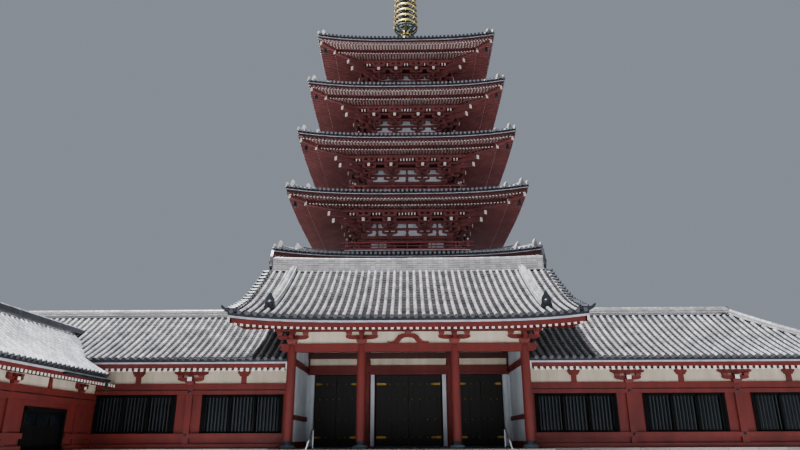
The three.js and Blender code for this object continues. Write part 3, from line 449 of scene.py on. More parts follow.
def cutGranite(name, light, dark, stoneLength, courseHeight, joint=0.012):
    # Sawn granite blocks: pepper-and-salt grains (the real 4 mm crystals drawn at 30 mm so that they
    # show), a tone of its own for each block, and thin mortar joints.
    material, tree, where = newMaterial(name)
    split = addNode(tree, "ShaderNodeSeparateXYZ", {"Vector": where}).outputs
    laid = addNode(tree, "ShaderNodeCombineXYZ", {"X": worked(tree, "ADD", split["X"], split["Y"]),
                   "Y": split["Z"]})
    blocks = addNode(tree, "ShaderNodeTexBrick",
                     {"Vector": laid.outputs["Vector"], "Color1": linear(light), "Color2": linear(dark),
                      "Mortar": linear("#57534c"), "Scale": 1.0, "Mortar Size": joint * modelScale,
                      "Mortar Smooth": 0.2, "Brick Width": stoneLength * modelScale,
                      "Row Height": courseHeight * modelScale, "Bias": 0.0}).outputs
    grains = addNode(tree, "ShaderNodeTexVoronoi", {"Vector": where, "Scale": 1 / (0.03 * modelScale)})
    speck = mapped(tree, grains.outputs["Color"], 0.2, 0.9, 0.72, 1.12)
    wash = mapped(tree, cloudy(tree, where, 1.6, 6.0), 0.3, 0.75, 1.06, 0.78)
    tone = worked(tree, "MULTIPLY", speck, wash)
    shade = addNode(tree, "ShaderNodeVectorMath", {0: blocks["Color"], 3: tone}, operation="SCALE")
    joints = bumped(tree, blocks["Fac"], 0.5, 0.004, invert=True)
    setSurface(tree, shade.outputs["Vector"], 0.8, joints, {})
    return material


def castBronze(name, bright, dull, roughness, metallic=1.0, patch=0.5):
    # Cast and gilded or patinated bronze: bright on worn places, dull in broad cloudy patches.
    material, tree, where = newMaterial(name)
    cloud = cloudy(tree, where, patch, 6.0, 0.65)
    colour = blended(tree, mapped(tree, cloud, 0.4, 0.68), linear(bright), linear(dull))
    gloss = mapped(tree, cloud, 0.35, 0.7, roughness, roughness + 0.22)
    setSurface(tree, colour, gloss, bumped(tree, cloudy(tree, where, 0.06, 2.0), 0.2, 0.002),
               {"Metallic": metallic})
    return material


def boardedPaint(name, colour):
    # Black oil paint on planked door leaves: low sheen, brush lines along the boards, a joint every 300 mm.
    material, tree, where = newMaterial(name)
    across = addNode(tree, "ShaderNodeSeparateXYZ", {"Vector": where}).outputs["X"]
    place = worked(tree, "FRACT", worked(tree, "DIVIDE", across, 0.3 * modelScale))
    edge = worked(tree, "ABSOLUTE", worked(tree, "SUBTRACT", place, 0.5))
    gap = mapped(tree, edge, 0.455, 0.49)
    brush = cloudy(tree, stretched(tree, where, 0.05), 0.04, 3.0)
    worn = blended(tree, brush, linear(colour), linear("#1a1712"))
    shade = blended(tree, gap, worn, linear("#050504"))
    gloss = mapped(tree, brush, 0.0, 1.0, 0.5, 0.65)
    setSurface(tree, shade, gloss, bumped(tree, gap, 0.5, 0.004, invert=True), {"Specular IOR Level": 0.3})
    return material


def darkPane(name):
    # Window glass over an unlit room: near black, with the slight waves of rolled glass.
    material, tree, where = newMaterial(name)
    wave = cloudy(tree, where, 0.7, 1.0)
    tint = blended(tree, wave, linear("#07090b"), linear("#171c20"))
    setSurface(tree, tint, 0.12, bumped(tree, wave, 0.08, 0.01), {})
    return material


finish = {
    "red": rolledPaint("redOxidePaint", "#6c2019", "#4e1813"),
    # the tower's red is a greyer, pinker copy of the gate's: painted shade, the bluish sky light on the
    # tower's shaded faces and eaves
    "skyShadeRed": rolledPaint("skyShadeRedPaint", "#7c4240", "#5c302f", roughness=0.65),
    # a lighter copy of the red for the balcony rails: painted light, the sky light that reaches them
    "skyLitRailRed": rolledPaint("skyLitRailRedPaint", "#a85a5a", "#824444", roughness=0.6),
    # a darker copy of the red for boards, beams and strips deep under eaves and behind rails: painted shade
    "paintedShadeRed": rolledPaint("paintedShadeRedPaint", "#4b201d", "#331716", roughness=0.6),
    "cream": rolledPaint("creamBoardPaint", "#f4f1ea", "#d6d1c6", roughness=0.7),
    "white": rolledPaint("whiteEndPaint", "#f1eee4", "#d0cabb", roughness=0.6),
    "plaster": rolledPaint("limePlaster", "#d0c5af", "#a89c84", roughness=0.85, grain=0.12, depth=0.35),
    # white panels given a pale blue tint: painted sky light in the shade
    "panel": rolledPaint("skyTintedPanelPaint", "#cfd6da", "#a6adb0", roughness=0.7),
    "jamb": rolledPaint("palePostPaint", "#d6dbde", "#a9afb2", roughness=0.6),
    "bars": rolledPaint("greenGreyBarPaint", "#282f30", "#191e1e", roughness=0.5),
    "frame": rolledPaint("darkFramePaint", "#0b0a08", "#070706", roughness=0.8, sheen=0.1),
    "cover": smokedTile("coverTile", "#b6b7bc", "#6c6e75", "#34363b"),
    # pan tiles have a brownish grey of their own, made much darker here as painted shade in the hollows
    # between the cover rows
    "pan": smokedTile("panTile", "#4a4342", "#292525", "#121214", metallic=0.1),
    "panEdge": smokedTile("panTileEdge", "#383c42", "#24272b", "#24272b", metallic=0.1),
    # a lighter copy of the tile-end disc, for the lower storeys of the tower: painted light
    "litTileDisc": smokedTile("litEaveTileDisc", "#8b8e97", "#575a61", "#575a61", metallic=0.1),
    "tileEnd": smokedTile("tileEndDisc", "#5a5e64", "#35383d", "#35383d", metallic=0.2),
    "ridge": smokedTile("ridgeCourseTile", "#c6c4c3", "#8f8c8b", "#8f8c8b", metallic=0.1,
                        cell=(1.5, 1.5, 0.031)),
    "ogre": smokedTile("ridgeEndTile", "#3a3e44", "#212429", "#212429", metallic=0.2),
    "granite": cutGranite("sawnGranite", "#b3aea3", "#958f84", 1.4, 0.55),
    "paving": cutGranite("granitePaving", "#b9b5ab", "#a39e94", 1.2, 9.0),
    "footing": cutGranite("greyFootingStone", "#6d767d", "#545c63", 9.0, 9.0, 0.0),
    "blackDoor": boardedPaint("blackDoorPaint", "#0b0a07"),
    "pane": darkPane("windowGlass"),
    "gilt": castBronze("giltBronze", "#f0d98c", "#b8995a", 0.34),
    "brass": castBronze("tarnishedBrass", "#a88a3e", "#5e4c22", 0.4),
    "hub": castBronze("greenBronze", "#4a5546", "#262b25", 0.45, 0.7),
    "bell": castBronze("darkBronze", "#31454c", "#182023", 0.4, 0.8),
    "cap": castBronze("silveredCap", "#dadcdd", "#a9acae", 0.3),
    "flashing": castBronze("paintedZincFlashing", "#bdbdc2", "#9b9ba1", 0.5, 0.0),
    "steel": castBronze("brushedSteel", "#8f9397", "#6e7276", 0.35, 1.0, 0.2),
}
print("materials made:", len(finish))


# Tower: tiled roofs, eaves with two tiers of rafters, bracket sets, panelled storeys and balconies

tower = {
    "storeys": 5, "baseTop": 6.4, "columnPlaces": [0.41, 0.41, 0.415, 0.36, 0.37],
    "tilePitch": 0.336, "tileRadius": 0.09, "discRadius": 0.11, "course": 0.3,
    "rafterPitch": 0.26, "rafterWidth": 0.115, "flyingReach": 1.5, "cornerLift": 0.5,
    "bracketHeight": 1.67, "bracketReach": 1.8,
    "shortDashes": [(2, 3, 6), (2, 3, 6), (2, 2, 5), (2, 2, 4), (2, 1, 2)],
    "balconyFloor": 1.93, "balconyReach": 1.5, "railPosts": 11, "railPass": 0.3, "skirtReach": 0.45,
}


def bodyHalf(i):
    return 4 - 0.37 * i


def eaveHalf(i):
    return 9.95 - 0.55 * i


def eaveLevel(i):
    return 14.2 + 5.205 * i - 0.0355 * i * i


def roofInner(i):
    return bodyHalf(i + 1) + tower["skirtReach"] + 0.02 if i < 4 else 0.9


def roofTop(i, r):
    # height of the tiles over the eave line: steeper towards the top
    share = (eaveHalf(i) - r) / (eaveHalf(i) - roofInner(i))
    rise, bend = (1.3, 0.25) if i < 4 else (3.5, 0.38)
    return 0.3 + rise * ((1 - bend) * share + bend * share * share)


def liftAt(i, r, t):
    # the eaves sweep up towards the corners, outside the purlin only
    purlin = bodyHalf(i) + tower["bracketReach"]
    out = min(1, max(0, (r - purlin) / (eaveHalf(i) - purlin)))
    return tower["cornerLift"] * min(1, abs(t)) ** 3 * out * out


def onSide(i, x, r, z):
    # a point of the front side, from its place along it, its half-width and its height over the eave
    return (x, -r, eaveLevel(i) + z + liftAt(i, r, x / r))


def flyingUnder(i, r):
    return -0.44 + (eaveHalf(i) - 0.15 - r) / 1.35 * 0.26


def baseUnder(i, r):
    outer, purlin = eaveHalf(i) - tower["flyingReach"], bodyHalf(i) + tower["bracketReach"]
    return -0.48 + (outer - r) / (outer - purlin) * 0.6


def eaveRow(i, r, z, steps=20):
    return [onSide(i, t * r, r, z) for t in along(-1, 1, steps)]


def eaveSheet(faces, i, profile, paint, steps=20):
    # a sheet under the eaves, from rows of (half-width, height)
    faces.loft([eaveRow(i, r, z, steps) for r, z in profile], paint, loop=False)


def eaveBand(faces, i, r0, r1, z0, z1, paint, steps=20):
    # a straight-sided moulding along the front eave, mitred at the corners
    faces.band(along(-1, 1, steps), lambda t, r, z: onSide(i, t * r, r, z), r0, r1, z0, z1, paint, caps=False)


def towerRoof(i):
    outer, inner, top = eaveHalf(i), roofInner(i), i == 4
    front = Faces()

    def edge(share, rise):
        r = outer - (outer - inner) * share
        return eaveRow(i, r, roofTop(i, r) - 0.15 + rise)

    front.panTiles(round((outer - inner) * (1.12 if top else 1.04) / tower["course"]), tower["course"], 0.035,
                   edge, [eaveRow(i, 0.6, roofTop(i, inner) - 0.05)] if top else [])
    rows = [[onSide(i, x, r, roofTop(i, min(r, outer)) - 0.07)
             for r in along(outer + 0.02, max(inner, abs(x) + 0.08), 6)]
            for x in multiples(0.2 - outer, outer - 0.2, tower["tilePitch"])]
    # tile-end discs: lighter on the lower storeys as painted light, dark on the top storey as painted shade
    front.tileRows(rows, tower["tileRadius"], tower["discRadius"], 0.05,
                   discPaint="tileEnd" if top else "litTileDisc")
    # strip of pan ends, bright drip line, red boards behind them in the darker red of painted shade
    for back, lip, z0, z1, paint in (
            (0.25, 0.04, 0.02, 0.13, "panEdge"), (0.3, 0.07, -0.03, 0.02, "flashing"),
            (0.28, 0.09, -0.1, -0.03, "paintedShadeRed"), (0.24, 0.11, -0.34, -0.1, "paintedShadeRed")):
        eaveBand(front, i, outer - back, outer - lip, z0, z1, paint)
    # ridge down each corner, in two steps, of flat courses under a round cover
    corner = along(outer - 0.12, inner, 8)
    if top:
        corner[-1] = 0.95
    diagonal = [onSide(i, r, r, roofTop(i, r)) for r in corner]
    x, y, z = diagonal[0]
    lower, upper = [(x - 0.35, y + 0.35, z)] + diagonal[1:5], diagonal[2:]
    for line, height in ((lower, 0.2), (upper, 0.42)):
        for k in range(round(height / 0.09) + 1):
            front.bars([raised(line, -0.1 + 0.09 * k)], 0.34 if k % 2 else 0.4, 0.092, "ridge")
        front.tileRows([raised(line, height - 0.03)], 0.13, 0.16, 0.08, discPaint="ridge")
    # an upright end tile on each step, and a small one at the very corner, in the light ridge finish rather
    # than the dark end-tile one: painted light
    for place, size in ((lower[0], 0.46), (upper[0], 0.56), (diagonal[0], 0.18)):
        half = [(size / 2, -0.14), (size * 0.62, size * 0.35), (size * 0.3, size), (0, size * 1.3)]
        tile = Faces()
        tile.prism(mirrored(half), -0.09, 0.05, "ridge")
        front.merge(tile, placed(place, math.pi / 4))
    assemble(f"storey_{i + 1}_roof_tiles", fourSides(front), replaces=[f"storey_{i + 1}_roof"])


def armOutline(a0, a1, z, height):
    # a bracket arm seen from the side: flat top, rounded up at both ends
    soft = min(0.3, (a1 - a0) * 0.3)
    return [(a0 + soft, z), (a1 - soft, z), (a1 - soft * 0.4, z + height * 0.14), (a1, z + height * 0.45),
            (a1, z + height), (a0, z + height), (a0, z + height * 0.45), (a0 + soft * 0.4, z + height * 0.14)]


def bearingBlock(faces, x, y, z, size, height, paint):
    rings = []
    for share, level in ((0.7, 0), (1, 0.45), (1, 1)):
        h = size * share / 2
        rings.append([(x + a, y + b, z + level * height) for a, b in ((-h, -h), (h, -h), (h, h), (-h, h))])
    faces.loft(rings, paint)


def towerBracketSet():
    # three steps out from the column head: arms, bearing blocks and a sloping tail beam with a white end;
    # the object only lends its mesh to the set tree
    part = Faces()
    bearingBlock(part, 0, -0.05, 0, 0.52, 0.24, "skyShadeRed")
    for v, z, half in (
            (0, 0.22, 0.68), (0, 0.86, 0.72), (0.6, 0.6, 0.62), (1.2, 0.9, 0.6), (1.8, 1.18, 0.62)):
        part.prism(armOutline(-half, half, z, 0.19), -v - 0.09, -v + 0.09, "skyShadeRed")
        for x in (-half + 0.13, 0, half - 0.13):
            bearingBlock(part, x, -v, z + 0.19, 0.25, 0.16, "skyShadeRed")
    for reach, z in ((0.78, 0.22), (1.38, 0.56)):
        part.prism(armOutline(-reach, 0.2, z, 0.2), -0.09, 0.09, "skyShadeRed", axis="X")
    part.prism([(-1.92, 0.78), (0.2, 1.36), (0.2, 1.64), (-1.92, 1.06)], -0.11, 0.11, "skyShadeRed", axis="X")
    part.box(-0.115, 0.115, -1.96, -1.92, 0.775, 1.065, "white")
    mesh = bpy.data.meshes.new("towerBracketSet")
    mesh.from_pydata(part.points, [], part.polygons)
    marks = [float(paint == finish["white"]) for paint in part.finishes]
    mesh.attributes.new("painted", "FLOAT", "FACE").data.foreach_set("value", marks)
    return bpy.data.objects.new("towerBracketSet", mesh)


def cornerMembers(i):
    # hip rafters, diagonal tails and the bell, for one corner; diagonal lines run inwards
    part, b, outer, level = Faces(), bodyHalf(i), eaveHalf(i), eaveLevel(i)

    def lifted(under, r):
        return under(i, r) + liftAt(i, r, 1)

    def beam(r0, z0, r1, z1, width, height):
        line = [(r0, -r0, level + z0), (r1, -r1, level + z1)]
        part.bars([line], width, height, "skyShadeRed")
        end, half, tall = Faces(), width / 2 + 0.005, height / 2 + 0.005
        end.box(-half, half, -0.045, 0.0, -tall, tall, "white")
        part.merge(end, placed(line[0], math.pi / 4))

    tip, knee, out = outer - 0.32, outer - 1.4, outer - 0.68
    beam(tip, lifted(flyingUnder, tip) - 0.05, knee - 0.4, lifted(flyingUnder, knee - 0.4) - 0.05, 0.24, 0.32)
    beam(knee, lifted(baseUnder, knee) + 0.06, b + 1.1, 0.28, 0.24, 0.32)
    beam(b + 2.72, -0.51, b + 0.2, -0.05, 0.26, 0.32)
    beam(b + 2.38, -1.01, b + 0.1, -0.42, 0.26, 0.34)
    arms = Faces()
    for reach, z in ((0.75 * 1.41, -1.42), (1.35 * 1.41, -1.08)):
        arms.prism(armOutline(-reach, 0.1, z, 0.2), -0.1, 0.1, "skyShadeRed", axis="X")
        bearingBlock(arms, 0, -reach + 0.15, z + 0.2, 0.27, 0.16, "skyShadeRed")
    part.merge(arms, placed((b, -b, level), math.pi / 4))
    hang = (out, -out, level + lifted(flyingUnder, out) - 0.2)
    part.lathe([(0.012, -0.2), (0.012, 0.02)], hang, "bell", 6)
    part.lathe([(0.12, -0.62), (0.145, -0.58), (0.12, -0.42), (0.105, -0.3), (0.06, -0.2), (0.02, -0.17)],
               hang, "bell", 12)
    return part


def rafterTier(faces, i, half, start, stop, under, rise, height, tipHeight):
    # rafters from the edge inwards to the purlin or the mitre, each with a pale end
    lines = [[onSide(i, x, r, under(i, r) + rise) for r in (start, max(stop, abs(x) + 0.02))]
             for x in spaced(eaveHalf(i) - 0.28, tower["rafterPitch"]) if abs(x) < half]
    tips = raised([line[0] for line in lines], -0.002)
    faces.bars(lines, tower["rafterWidth"], height, "skyShadeRed")
    faces.blocks(tips, tower["rafterWidth"] - 0.01, 0.006, tipHeight, "cream")


def towerEaves(i):
    b, outer, level = bodyHalf(i), eaveHalf(i), eaveLevel(i)
    knee, purlin = outer - tower["flyingReach"], b + tower["bracketReach"]
    middle = tower["columnPlaces"][i] * b
    front = Faces()
    rafterTier(front, i, outer, outer - 0.15, knee - 0.05, flyingUnder, 0.07, 0.12, 0.1)
    rafterTier(front, i, knee - 0.1, knee + 0.1, purlin - 0.1, baseUnder, 0.075, 0.15, 0.11)
    # boards over the rafters, seen from below
    eaveSheet(front, i, [(r, flyingUnder(i, r) + 0.12) for r in (knee + 0.08, outer - 0.12)], "cream")
    eaveSheet(front, i, [(r, baseUnder(i, r) + 0.13) for r in (purlin - 0.1, knee - 0.06)], "cream")
    # the band at the knee between the two tiers is in the darker red: painted shade
    low, high = sorted((baseUnder(i, knee) + 0.14, flyingUnder(i, knee) + 0.1))
    eaveBand(front, i, knee - 0.1, knee + 0.1, low, high, "paintedShadeRed")
    eaveBand(front, i, purlin - 0.12, purlin + 0.12, -0.12, 0.2, "skyShadeRed")
    # ties between the bracket sets, white panels in the wall plane with their painted bluish sky light, and
    # the sloping board over them in the darker red of painted shade
    for back, out, z0, z1, paint in (
            (0.52, 0.68, -0.7, -0.54, "skyShadeRed"), (1.12, 1.28, -0.44, -0.26, "skyShadeRed"),
            (0.02, 0.14, -1.15, -0.93, "skyShadeRed"), (0.02, 0.14, -0.42, -0.1, "skyShadeRed"),
            (-0.1, 0.06, -1.66, -0.4, "panel")):
        eaveBand(front, i, b + back, b + out, z0, z1, paint, 2)
    eaveSheet(front, i, [(b, -0.22), (b + 1.2, -0.27), (b + 1.72, -0.1)], "paintedShadeRed", 2)
    # short pale rafter ends that show between the sets
    edges = [-b - 1.9, -b, -middle, middle, b, b + 1.9]
    counts = tower["shortDashes"][i] + tower["shortDashes"][i][1::-1]
    dashes = [((edges[bay] + edges[bay + 1]) / 2 + (k - (count - 1) / 2) * tower["rafterPitch"], -(b + 1.62),
               level - 0.16) for bay, count in enumerate(counts) for k in range(count)]
    front.blocks(dashes, 0.11, 0.2, 0.24, "cream")
    for x in {0: [0], 1: [-(b + middle) / 2, 0, (b + middle) / 2], 2: [0]}.get(i, []):
        foot, head = level - 1.66, level - 1.3
        bearingBlock(front, x, -(b + 0.1), head, 0.26, 0.15, "skyShadeRed")
        strut = [(x - 0.16, foot), (x + 0.16, foot), (x + 0.07, head), (x - 0.07, head)]
        front.prism(strut, -(b + 0.16), -(b + 0.04), "skyShadeRed")
        if i == 1 or x == 0:
            front.box(x - 0.08, x + 0.08, -(b + 0.14), -(b + 0.04), level - 0.95, level - 0.4, "skyShadeRed")
    front.merge(cornerMembers(i))
    spots = [(x, -b, level - tower["bracketHeight"]) for x in (-b, -middle, middle, b)]
    front.merge(grow(setTree, pointMesh(spots), set=bracketSet, finish=finish["skyShadeRed"],
                     painted=finish["white"]))
    assemble(f"storey_{i + 1}_eaves_timber", fourSides(front),
             replaces=[f"storey_{i + 1}_eaves"])


def storeyPanels(i):
    # head beams, pale panels, doors and barred windows set on the walls of a storey
    b, head = bodyHalf(i), eaveLevel(i) - tower["bracketHeight"]
    foot = eaveLevel(i - 1) + tower["balconyFloor"] if i else tower["baseTop"]
    middle, top = tower["columnPlaces"][i] * b, head - 0.57
    front = Faces()

    def strip(x0, x1, z0, z1, thick, paint="skyShadeRed"):
        front.box(x0, x1, -b - thick, -b + 0.02, z0, z1, paint)

    strip(-b - 0.28, b + 0.28, head - 0.26, head + 0.01, 0.2)
    strip(-b - 0.05, b + 0.05, head - 0.57, head - 0.3, 0.12)
    strip(-b - 0.05, b + 0.05, foot + 0.01, foot + 0.28, 0.14)
    if i == 0:
        strip(-b, b, foot + 3.3, foot + 3.6, 0.16)
        for x0, x1 in ((-b, -middle), (-middle, middle), (middle, b)):
            strip(x0 + 0.3, x1 - 0.3, foot + 3.62, top - 0.05, 0.03, "plaster")
        top = foot + 3.3
    # the centre bay behind the doors is in the darker red: painted shade
    strip(-middle + 0.26, middle - 0.26, foot + 0.28, top, 0.02, "paintedShadeRed")
    for side in (-1, 1):
        strip(side * 0.03, side * (middle - 0.42), foot + 0.34, top - 0.14, 0.06, "frame")
        strip(side * (middle - 0.38), side * (middle - 0.26), foot + 0.28, top, 0.12)
        x0, x1 = sorted((side * (middle + 0.28), side * (b - 0.58)))
        if i == 0:
            strip(x0, x1, foot + 0.28, foot + 1.3, 0.03, "plaster")
            strip(x0 - 0.04, x1 + 0.04, foot + 1.3, foot + 1.5, 0.14)
            strip(x0, x1, foot + 1.5, top, 0.01, "pane")
            bars = [(x0 + (x1 - x0) * (k + 0.5) / 9, -b - 0.06, (foot + 1.5 + top) / 2) for k in range(9)]
            front.blocks(bars, 0.06, 0.07, top - foot - 1.52, "bars")
        else:
            strip(x0, x1, foot + 0.28, top - 0.02, 0.03, "panel")
            strip((x0 + x1) / 2 - 0.03, (x0 + x1) / 2 + 0.03, foot + 0.28, top, 0.05)
            strip(x0 - 0.03, x1 + 0.03, foot + 0.95, foot + 1.03, 0.06)
    assemble(f"storey_{i + 1}_panelling", fourSides(front))


def balconyRail(i):
    # deck with a bright edge, and a rail of three bars that pass each other at the corners; the rail red is
    # lighter as painted light, the strip under the deck darker as painted shade
    b, floor = bodyHalf(i), eaveLevel(i - 1) + tower["balconyFloor"]
    half, skirt = b + tower["balconyReach"], b + tower["skirtReach"]
    line, reach = half - 0.14, half + tower["railPass"]
    front = Faces()
    for r0, r1, z0, z1, paint in (
            (b - 0.1, half, -0.12, 0, "skyShadeRed"), (half - 0.3, half + 0.03, -0.1, -0.02, "cap"),
            (skirt - 0.25, skirt, -1.4, -0.1, "cream"), (skirt - 0.2, skirt + 0.12, -0.34, -0.2, "skyShadeRed"),
            (skirt - 0.2, half - 0.12, -0.2, -0.12, "paintedShadeRed")):
        front.band((-1, 1), lambda t, r, z: (t * r, -r, z), r0, r1, floor + z0, floor + z1, paint, caps=False)
    joists = [(x, -(half - 0.35), floor - 0.2) for x in spaced(half - 0.1, 0.42)]
    front.blocks(joists, 0.12, 0.6, 0.14, "skyShadeRed")
    for z, size in ((0.1, 0.1), (0.35, 0.08), (0.64, 0.1)):
        front.bars([[(-reach, -line, floor + z), (reach, -line, floor + z)]], size, size, "skyLitRailRed")
    places = along(-line, line, tower["railPosts"] - 1)[1:-1]
    for first, height in ((1, 0.34), (0, 0.62)):
        posts = [(x, -line, floor + height / 2) for x in places[first::2]]
        front.blocks(posts, 0.085, 0.085, height, "skyLitRailRed")
    for h, z0, z1, paint in ((0.07, 0, 0.8, "skyLitRailRed"), (0.08, 0.3, 0.4, "cap"), (0.08, 0.6, 0.7, "cap")):
        front.box(-line - h, -line + h, -line - h, -line + h, floor + z0, floor + z1, paint)
    knob = [(0.06, 0.0), (0.085, 0.04), (0.05, 0.08), (0.09, 0.14), (0.07, 0.2), (0.01, 0.25)]
    front.lathe(knob, (-line, -line, floor + 0.79), "cap", 10)
    assemble(f"storey_{i + 1}_railing", fourSides(front), replaces=[f"storey_{i + 1}_balcony"])


bracketSet = towerBracketSet()
for storey in range(tower["storeys"]):
    towerRoof(storey)
    towerEaves(storey)
    storeyPanels(storey)
    if storey:
        balconyRail(storey)
print("tower storeys made")


# Gate hall: gable roof, columns and brackets, door wall, porch walls and door fittings

gate = {
    "ridgeY": -19.0, "depth": 4.6, "run": 7.0, "verge": 8.2, "eave": 6.56, "ridge": 10.9,
    "tileThickness": 0.32, "columns": (-5.6, -2.24, 2.24, 5.6), "columnRadius": 0.215, "floor": 1.1,
    "tieBottom": 5.5, "tieTop": 5.89, "purlin": 6.5, "doorHead": 4.82, "rafterPitch": 0.285,
    "tilePitch": 0.365, "tileRadius": 0.084, "discRadius": 0.1, "course": 0.28,
    "hipRidgeAt": 6.55, "hipRidgeStop": 5.75, "mainRidgeHalf": 7.85,
}
gateFront = gate["ridgeY"] - gate["depth"]


def tileLine(distance, edge, ridge, eave):
    share = distance / edge
    return ridge - (ridge - eave) * (1.25 * share - 0.25 * share * share)


def gateTop(d):
    return tileLine(d, gate["run"], gate["ridge"], gate["eave"] + gate["tileThickness"])


def onGate(x, d, z):
    # front slope of the gate roof: d metres out from the ridge line, with a lift at the corners
    out = max(0.0, (d - gate["depth"]) / (gate["run"] - gate["depth"]))
    return (x, gate["ridgeY"] - d, z + 0.28 * abs(x / gate["verge"]) ** 4 * out)


def gateBand(faces, half, d0, d1, z0, z1, paint):
    faces.band(along(-half, half, 16), onGate, d0, d1, z0, z1, paint)


def bothSlopes(front):
    # the front slope carried round the ridge line to the back
    whole = Faces()
    whole.merge(front)
    whole.merge(front, placed((0, 2 * gate["ridgeY"], 0), math.pi))
    return whole


def ogreTile(size):
    # end tile of a ridge, a plain shield with rolled shoulders and a round boss
    tile = Faces()
    half = [(0.42, -0.1), (0.56, 0.12), (0.44, 0.45), (0.42, 0.8), (0.3, 1.08), (0.2, 1.16), (0.14, 1.4),
            (0, 1.52)]
    tile.prism([(a * size, b * size) for a, b in mirrored(half)], -0.08, 0.06, "ogre")
    angles = along(0.0, 2 * math.pi, 12)[:-1]
    boss = ((0.3, -0.08), (0.3, -0.12), (0.22, -0.13), (0.18, -0.17), (0.02, -0.19))
    tile.loft([[(radius * size * math.cos(a), v, size * (0.48 + radius * math.sin(a))) for a in angles]
               for radius, v in boss], "ogre")
    return tile


def ridgeStack(faces, line, width, height, capRadius, layers, paint="ridge"):
    # a ridge of flat tile courses with a round cover; line is its foot, from one end to the other
    step = height / layers
    for k in range(layers):
        faces.bars([raised(line, (k + 0.5) * step)], width - 0.03 * (k % 2), step * 1.02, paint)
    faces.tileRows([raised(line, height)], capRadius, capRadius * 1.2, 0.08)


def gateRoofTiles():
    run, verge, eave, stop = gate["run"], gate["verge"], gate["eave"], gate["hipRidgeStop"]
    front = Faces()

    def edge(share, rise):
        d = run - (run - 0.2) * share
        return [onGate(x, d, gateTop(d) - 0.15 + rise) for x in along(-verge, verge, 24)]

    front.panTiles(round(7.9 / gate["course"]), gate["course"], 0.04, edge)
    rows = [[onGate(x, d, gateTop(min(d, run)) - 0.1) for d in along(run + 0.02, 0.27, 9)]
            for x in multiples(0.12 - verge, verge - 0.12, gate["tilePitch"])]
    front.tileRows(rows, gate["tileRadius"], gate["discRadius"], 0.06)
    gateBand(front, verge, run - 0.25, run - 0.03, eave + 0.05, eave + 0.19, "panEdge")
    gateBand(front, verge, run - 0.3, run - 0.05, eave - 0.035, eave + 0.045, "flashing")
    for side in (-1, 1):
        # ridge down the slope beside the gable, with its end tile
        x = side * gate["hipRidgeAt"]
        ridgeStack(front, [onGate(x, d, gateTop(d) - 0.1) for d in along(stop, 0.3, 8)], 0.36, 0.3, 0.12, 4)
        front.merge(ogreTile(0.5), placed(onGate(x, stop + 0.08, gateTop(stop) - 0.1)))
        # verge: a row of short cover tiles laid across, seen end-on from the side, given the dark end-tile
        # finish as painted shade
        front.tileRows([[onGate(side * (verge + out), d, gateTop(d) + rise)
                         for out, rise in ((0.03, -0.01), (-0.28, 0.01))]
                        for d in [run - 0.25 - k * 0.42 for k in range(16)]],
                       0.09, 0.11, 0.05, "tileEnd", "ogre")
        _, y, z = onGate(side * (verge - 0.02), run - 0.07, eave)
        front.box(side * (verge - 0.1), side * (verge + 0.01), y, y + 0.2, z - 0.25, z + 0.03, "white")
        # low upturned snout at the eave corner
        snout = [(-0.4, -0.08), (0.1, -0.1), (0.26, 0.0), (0.36, 0.14), (0.36, 0.22), (0.28, 0.2),
                 (0.18, 0.1), (0.0, 0.07), (-0.4, 0.1)]
        horn = Faces()
        horn.prism([(side * a, b) for a, b in snout], -0.1, 0.1, "ogre")
        front.merge(horn, placed(onGate(side * (verge - 0.03), run - 0.12, gateTop(run) - 0.02)))
    # both slopes, then the main ridge across the top
    whole, half, foot = bothSlopes(front), gate["mainRidgeHalf"], gate["ridge"] - 0.32
    crest = [(x, gate["ridgeY"], foot + 0.12 * abs(x / half) ** 3)
             for x in (-half, -5.5, -3, 0, 3, 5.5, half)]
    ridgeStack(whole, crest, 0.6, 0.78, 0.12, 12)
    for side in (-1, 1):
        place = (side * (half + 0.02), gate["ridgeY"], foot + 0.27)
        whole.merge(ogreTile(0.78), placed(place, side * math.pi / 2))
    assemble("gate_roof_tiles", whole, replaces=["gate_roof"])


